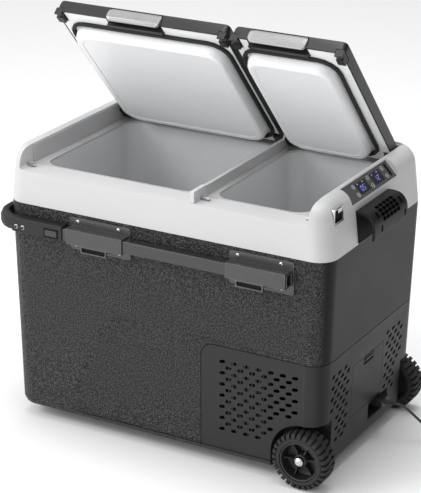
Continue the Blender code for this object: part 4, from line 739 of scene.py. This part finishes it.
# axle ends: domed nut with a washer
for sign, side in ((-1, "front"), (1, "rear")):
    bm = bmesh.new()
    turned_at(bm, W(WX, sign * 0.2094, WZ), (0, sign, 0), [(0.0076, -0.0008), (0.0080, 0.0), (0.0074, 0.0007), (0.0062, 0.0010), (0.0056, 0.0024), (0.0040, 0.0030), (0.0012, 0.0031)], 32)
    for k in range(6):
        a = 2 * math.pi * k / 6
        block(bm, W(WX + 0.0046 * math.cos(a), sign * 0.2100, WZ + 0.0046 * math.sin(a)), (0, sign, 0), Vector((math.cos(a), 0, math.sin(a))), (0.0016, 0.0011), 0.0011, 0.0, 0.0003)
    obj_from(bm, side + "_axle_nut", M_ZINC, "case", smooth=40)

# ------------------------------------------------------------------ bright screws over the moulded heads
def screw(bm, centre, normal, r=0.0040, h=0.0028, recess=True):
    n, t, u = frame_at(normal)
    c = Vector(centre)
    turned_at(bm, c, normal, [(r * 0.96, -0.0010), (r, 0.0), (r * 0.94, h * 0.45), (r * 0.72, h * 0.80), (r * 0.46, h * 0.95), (r * 0.40, h * 0.45), (r * 0.02, h * 0.40)], 20)


BRACKETS = ((-0.1870, -0.0604), (0.1400, 0.2655))
for sign, side in ((-1, "front"), (1, "rear")):
    bm = bmesh.new()
    for x0, x1 in BRACKETS:
        for sx, sz in ((x0 + 0.0170, -0.0130), (x1 - 0.0245, -0.0130), (x0 + 0.0125, -0.0572), (x1 - 0.0230, -0.0572)):
            screw(bm, W(sx, sign * 0.2012, sz), (0, sign, 0), 0.0041, 0.0030)
    obj_from(bm, side + "_guide_screws", M_ZINC, "case", smooth=40)
    bm = bmesh.new()
    for bx in (-0.2906, -0.2763):
        screw(bm, W(bx, sign * 0.2228, -0.0370), (0, sign, 0), 0.0047, 0.0030)
    obj_from(bm, side + "_grip_bolts", M_ZINC, "tow_handle", smooth=40)
    # frame round the release button
    bm = bmesh.new()
    for dz in (-0.0140 / 2 - 0.0008, 0.0140 / 2 + 0.0008):
        block(bm, W(-0.21525, sign * 0.2230, -0.0370 + dz), (0, sign, 0), Vector((1, 0, 0)), (0.0300, 0.0014), 0.0012, 0.0, 0.0004)
    for dx in (-0.0143, 0.0143):
        block(bm, W(-0.21525 + dx, sign * 0.2230, -0.0370), (0, sign, 0), Vector((1, 0, 0)), (0.0014, 0.0150), 0.0012, 0.0, 0.0004)
    # the dark frame is painted shade for the gap round the button
    obj_from(bm, side + "_button_gap_shade", M_SHADE, "tow_handle", bevel=0.0003)
    # slotted stop plate low on each guide; the dark plate stands in the open slot as painted shade
    bm = bmesh.new()
    for wx in (-0.1255, 0.1905):
        block(bm, W(wx, sign * 0.2195, -0.0560), (0, sign, 0), Vector((1, 0, 0)), (0.0490, 0.0090), 0.0012, 0.0, 0.0006)
    obj_from(bm, side + "_guide_slot_shade", M_SHADE, "case")
    bm = bmesh.new()
    for wx in (-0.1255, 0.1905):
        for dz in (-0.0055, 0.0053):
            block(bm, W(wx, sign * 0.2190, -0.0560 + dz), (0, sign, 0), Vector((1, 0, 0)), (0.0540, 0.0024), 0.0042, 0.0, 0.0004)
        for dx in (-0.0257, 0.0257):
            block(bm, W(wx + dx, sign * 0.2190, -0.0560), (0, sign, 0), Vector((1, 0, 0)), (0.0026, 0.0120), 0.0040, 0.0, 0.0004)
    obj_from(bm, side + "_guide_slot_rims", M_GUIDE, "case", bevel=0.0003)

# recessed screws of the compressor cover
def front_y(z):
    return -0.19465 + 0.006 * (-z)


bm = bmesh.new()
for x, z in ((0.1974, -0.2035), (0.1130, -0.2085), (0.2720, -0.2045), (0.0895, -0.2423), (0.0895, -0.3100), (0.0895, -0.3770)):
    turned_at(bm, W(x, front_y(z), z), (0, -1, 0), [(0.0034, -0.0005), (0.0036, 0.0002), (0.0030, 0.0007), (0.0020, 0.0009), (0.0018, 0.0002), (0.0001, 0.0002)], 20)
obj_from(bm, "cover_screws", M_LOCK, "case", smooth=40)

# ------------------------------------------------------------------ panel: key symbols and two-figure read-outs
P0, P1 = Vector((0.2955, 0, 0.0990)), Vector((0.3215, 0, 0.0715))
du = (P1 - P0).normalized()
dn = Vector((-du.z, 0, du.x))
pm = (P0 + P1) / 2


def on_panel(u, y, h=0.0):
    q = pm + du * u + dn * h
    return W(q.x, y, q.z)


def panel_bar(bm, u0, y0, u1, y1, width, h0, h1):
    a, b = Vector((u0, y0)), Vector((u1, y1))
    d = (b - a).normalized()
    s = Vector((-d.y, d.x)) * width / 2
    pts = [a + s, a - s, b - s, b + s]
    ring_bm(bm, [[on_panel(q.x, q.y, h) for q in pts] for h in (h0, h1)])


def panel_ring(bm, u, y, r, w, h0, h1, a0=0, a1=360, seg=20):
    full = a1 - a0 >= 360
    n = seg
    rows = []
    for i in range(n if full else n + 1):
        a = math.radians(a0 + (a1 - a0) * i / n)
        rows.append([on_panel(u + rr * math.cos(a), y + rr * math.sin(a), h) for rr, h in ((r - w / 2, h0), (r - w / 2, h1), (r + w / 2, h1), (r + w / 2, h0))])
    ring_bm(bm, rows, close_v=full)


SEG = {"a": ((-1, -.5), (-1, .5)), "b": ((-1, .5), (0, .5)), "c": ((0, .5), (1, .5)), "d": ((1, -.5), (1, .5)), "e": ((0, -.5), (1, -.5)), "f": ((-1, -.5), (0, -.5)), "g": ((0, -.5), (0, .5))}
FIG = {"0": "abcdef", "1": "bc", "2": "abged", "3": "abgcd", "4": "fgbc", "5": "afgcd", "8": "abcdefg"}
bm = bmesh.new()
bmi = bmesh.new()
for y_mid, figs in ((-0.0272, "05"), (0.0308, "12")):
    for k, ch in enumerate(figs):
        yc = y_mid - 0.0042 + 0.0084 * k
        for sname in FIG[ch]:
            (ua, ya), (ub, yb) = SEG[sname]
            u_a, y_a = ua * 0.0046 + 0.0016, yc + ya * 0.0050
            u_b, y_b = ub * 0.0046 + 0.0016, yc + yb * 0.0050
            d = Vector((u_b - u_a, y_b - y_a)).normalized() * 0.0005
            panel_bar(bm, u_a + d.x, y_a + d.y, u_b - d.x, y_b - d.y, 0.0011, -0.0006, -0.0002)
    # degree dot, snowflake-like star and a small bar row above the figures
    panel_ring(bm, -0.0030, y_mid + 0.0098, 0.0007, 0.0004, -0.0006, -0.0002, seg=10)
    for q in range(3):
        a = math.radians(60 * q)
        panel_bar(bmi, -0.0086 + 0.0013 * math.cos(a), y_mid - 0.0100 + 0.0013 * math.sin(a), -0.0086 - 0.0013 * math.cos(a), y_mid - 0.0100 - 0.0013 * math.sin(a), 0.0004, -0.0006, -0.0002)
    for q in range(3):
        panel_bar(bmi, -0.0078, y_mid + 0.0080 + 0.0014 * q, -0.0092 - 0.0004 * q, y_mid + 0.0080 + 0.0014 * q, 0.0006, -0.0006, -0.0002)
obj_from(bm, "figures", M_DIGIT, "case")
obj_from(bmi, "small_symbols", M_MARK, "case")
KEYS = [(u, y) for y in (-0.0560, 0.0015, 0.0600) for u in (-0.0083, 0.0083)]
for i, (u, y) in enumerate(KEYS):
    bm = bmesh.new()
    h0, h1 = 0.0008, 0.0011
    panel_ring(bm, u, y, 0.0041, 0.0006, h0, h1, seg=24)
    if i == 0:
        panel_ring(bm, u, y, 0.0019, 0.0005, h0, h1, -140, 140, 16)
        panel_bar(bm, u - 0.0024, y, u - 0.0006, y, 0.0005, h0, h1)
    elif i == 1:
        for q in (-1, 0, 1):
            panel_bar(bm, u + 0.0012 * q, y - 0.0019, u + 0.0012 * q, y + 0.0019, 0.0005, h0, h1)
    elif i in (2, 4):
        panel_bar(bm, u - 0.0011, y, u + 0.0009, y - 0.0018, 0.0006, h0, h1)
        panel_bar(bm, u - 0.0011, y, u + 0.0009, y + 0.0018, 0.0006, h0, h1)
    else:
        panel_bar(bm, u + 0.0011, y, u - 0.0009, y - 0.0018, 0.0006, h0, h1)
        panel_bar(bm, u + 0.0011, y, u - 0.0009, y + 0.0018, 0.0006, h0, h1)
    obj_from(bm, "key_symbol_%d" % (i + 1), M_MARK, "key_%d" % (i + 1))
# dark mouth of the USB socket, painted shade standing in for the opening
bm = bmesh.new()
ring_bm(bm, [[on_panel(u, y, h) for u, y in ((-0.0128, 0.0731), (0.0116, 0.0731), (0.0116, 0.0799), (-0.0128, 0.0799))] for h in (0.00035, 0.0006)])
obj_from(bm, "usb_mouth_shade", M_SHADE, "case")

# ------------------------------------------------------------------ bottle opener: dark floor behind the bright lip, painted shade for the recess
ox = 0.33 - 0.12 * 0.0740
bm = bmesh.new()
ring_bm(bm, [[W(x, y, z) for y, z in ((-0.1630, 0.0630), (-0.1330, 0.0630), (-0.1330, 0.0798), (-0.1630, 0.0798))] for x in (ox - 0.00395, ox - 0.0034)])
obj_from(bm, "opener_shade_floor", M_SHADE, "case")

# ------------------------------------------------------------------ side handle: thick hood with a deep grille
def fx(z):
    return 0.33 - 0.12 * z + 0.0003


def prism_y(profile, y0, y1):
    bm = bmesh.new()
    return ring_bm(bm, [[W(x, y, z) for x, z in profile] for y in (y0, y1)])


def temp(bm):
    bmesh.ops.recalc_face_normals(bm, faces=bm.faces)
    me = bpy.data.meshes.new("t")
    bm.to_mesh(me)
    bm.free()
    o = bpy.data.objects.new("t", me)
    scene.collection.objects.link(o)
    return o


def boolean(a, tools, op="DIFFERENCE"):
    """a and tools are bmeshes; gives the cut bmesh."""
    oa = temp(a)
    obs = [temp(t) for t in tools]
    for ob in obs:
        mod = oa.modifiers.new("b", "BOOLEAN")
        mod.operation, mod.solver, mod.object = op, "EXACT", ob
    dg = bpy.context.evaluated_depsgraph_get()
    out = bmesh.new()
    me = bpy.data.meshes.new_from_object(oa.evaluated_get(dg))
    out.from_mesh(me)
    for ob in [oa] + obs:
        bpy.data.objects.remove(ob, do_unlink=True)
    return out


outer = [
    (fx(0.0605), 0.0605), (0.3330, 0.0606), (0.3427, 0.0595), (0.3462, 0.0584), (0.3492, 0.0567), (0.3521, 0.0545), (0.3546, 0.0519), (0.3567, 0.0490),
    (0.3585, 0.0459), (0.3598, 0.0426), (0.3608, 0.0390), (0.3614, 0.0345), (0.3617, 0.0300), (0.3615, 0.0200), (0.3602, 0.0117), (0.3550, 0.0117),
    (0.3562, 0.0200), (0.3564, 0.0300), (0.3556, 0.0378), (0.3538, 0.0432), (0.3508, 0.0480), (0.3466, 0.0518), (0.3416, 0.0542), (0.3330, 0.0552),
    (fx(0.0550), 0.0550),
]
hood = prism_y(outer, -0.0850, 0.0462)
rear = [(fx(0.0605), 0.0605)] + outer[1:15] + [(fx(0.0117), 0.0117)]
cap_bm = prism_y(rear, 0.0452, 0.0500)
hood_o = boolean(hood, [cap_bm], "UNION")


def oval(cx, cz, nx, nz, yc, half_t, half_y, depth=0.009, seg=16, sq=0.5):
    """Rounded cutter square to the hood's face at one height."""
    length = math.hypot(nx, nz)
    nx, nz = nx / length, nz / length
    tx, tz = -nz, nx
    bm = bmesh.new()
    rows = []
    for h in (-depth, depth):
        row = []
        for i in range(seg):
            a = 2 * math.pi * i / seg
            ca, sa = math.cos(a), math.sin(a)
            k = (abs(ca) ** (2 / sq) + abs(sa) ** (2 / sq)) ** (-sq / 2)
            u, v = half_t * ca * k, half_y * sa * k
            row.append(W(cx + tx * u + nx * h, yc + v, cz + tz * u + nz * h))
        rows.append(row)
    return ring_bm(bm, rows)


cutters = []
rows_at = [(0.3440, 0.0592, 0.33, 0.94), (0.3513, 0.0551, 0.62, 0.78), (0.3568, 0.0488, 0.83, 0.56), (0.3602, 0.0412, 0.95, 0.31)]
for k, (cx, cz, nx, nz) in enumerate(rows_at):
    for c in range(5):
        yc = -0.0435 + 0.0143 * c
        cutters.append(oval(cx, cz, nx, nz, yc, 0.0036, 0.0064, 0.008, 12, 0.25))
for cx, cz, nx, nz, yc, ht, hy in (
    (0.3546, 0.0519, 0.75, 0.66, -0.0620, 0.0068, 0.0042), (0.3546, 0.0519, 0.75, 0.66, 0.0322, 0.0068, 0.0042),
    (0.3612, 0.0270, 1.0, 0.0, -0.0560, 0.0068, 0.0036), (0.3612, 0.0270, 1.0, 0.0, 0.0400, 0.0068, 0.0036),
):
    cutters.append(oval(cx, cz, nx, nz, yc, ht, hy, 0.010, 18, 0.9))
hood_o = boolean(hood_o, cutters)
obj_from(hood_o, "side_handle_hood", M_HANDLE, "case", ("side_grab_handle",), smooth=30, bevel=0.0006, segments=2)
# dark back plate under the hood: painted shade on the body face behind the handle
bm = prism_y([(fx(0.0560) + 0.0002, 0.0549), (fx(0.0560) + 0.0022, 0.0549), (fx(0.0020) + 0.0018, 0.0022), (fx(0.0020) + 0.0001, 0.0022)], -0.0846, 0.0450)
obj_from(bm, "side_handle_back", M_SHADE, "case", bevel=0.0003)
# dark liner close behind the grille, painted shade for the hollow under the hood
inner = [(0.3340, 0.0545), (0.3410, 0.0534), (0.3458, 0.0510), (0.3500, 0.0472), (0.3529, 0.0428), (0.3547, 0.0378), (0.3554, 0.0330),
         (0.3540, 0.0330), (0.3533, 0.0374), (0.3516, 0.0420), (0.3489, 0.0461), (0.3449, 0.0497), (0.3405, 0.0520), (0.3340, 0.0531)]
bm = prism_y(inner, -0.0842, 0.0448)
obj_from(bm, "side_handle_grille_shade", M_SHADE, "case", smooth=50)

# ------------------------------------------------------------------ finger ribs along the latches
HINGE_Y, HINGE_Z, LID_OPEN = 0.1680, 0.0840, math.radians(47.9)
LID_MID2 = 0.0005


def lid_point(x, y, z):
    """A point of the closed lid, carried to the open rest pose."""
    a, b = y - HINGE_Y, z - HINGE_Z
    c, d = math.cos(LID_OPEN), math.sin(LID_OPEN)
    return W(x, HINGE_Y + c * a + d * b, HINGE_Z - d * a + c * b)


for side, (la, lb) in {"left": (-0.1840, -0.0750), "right": (0.1030, 0.2140)}.items():
    for end in ("front", "rear"):
        bm = bmesh.new()
        for y0, z0 in ((-0.18115, 0.0856), (-0.18185, 0.0826), (-0.18225, 0.0796), (-0.18232, 0.0766), (-0.18238, 0.0736), (-0.1818, 0.0706)):
            rows = []
            for x in (la + 0.0070, la + 0.0078, lb - 0.0078, lb - 0.0070):
                k = 0.35 if x in (la + 0.0070, lb - 0.0070) else 1.0
                row = []
                for u, v in ((0.0006, 0.00075 * k), (-0.00045 * k, 0.00035 * k), (-0.00045 * k, -0.00035 * k), (0.0006, -0.00075 * k)):
                    y = y0 + u
                    row.append(lid_point(x, y if end == "front" else LID_MID2 - y, z0 + v))
                rows.append(row)
            ring_bm(bm, rows)
        obj_from(bm, "%s_%s_latch_ribs" % (side, end), M_LATCH, "%s_%s_latch" % (side, end), smooth=30, bevel=0.00015)

# ------------------------------------------------------------------ tie round the coiled lead
bm = bmesh.new()
c0 = Vector((COIL_C[0] - 0.0277, COIL_C[1], 0))
half, lo_z, hi_z = 0.0103, -GROUND + 0.0008, -GROUND + 0.0204
sec = []
for i in range(13):
    a = math.radians(180 - 15 * i)
    sec.append((half * max(-1, min(1, math.cos(a) * 1.12)), hi_z - 0.0035 + 0.0035 * min(1.0, math.sin(a) * 1.3)))
sec = [(-half, lo_z)] + sec + [(half, lo_z)]
thin = 0.0004
rows = []
for dy in (-0.0045, 0.0045):
    outer_row = [W(c0.x + u * (1 + thin / half * 0.9), c0.y + dy, z + (thin if z > hi_z - 0.003 else 0)) for u, z in sec]
    inner_row = [W(c0.x + u * (1 - thin / half * 0.3), c0.y + dy, z - (0.0001 if z > hi_z - 0.003 else 0)) for u, z in reversed(sec)]
    rows.append(outer_row + inner_row)
ring_bm(bm, rows)
tie = obj_from(bm, "lead_tie", M_TIE, "case", smooth=40)
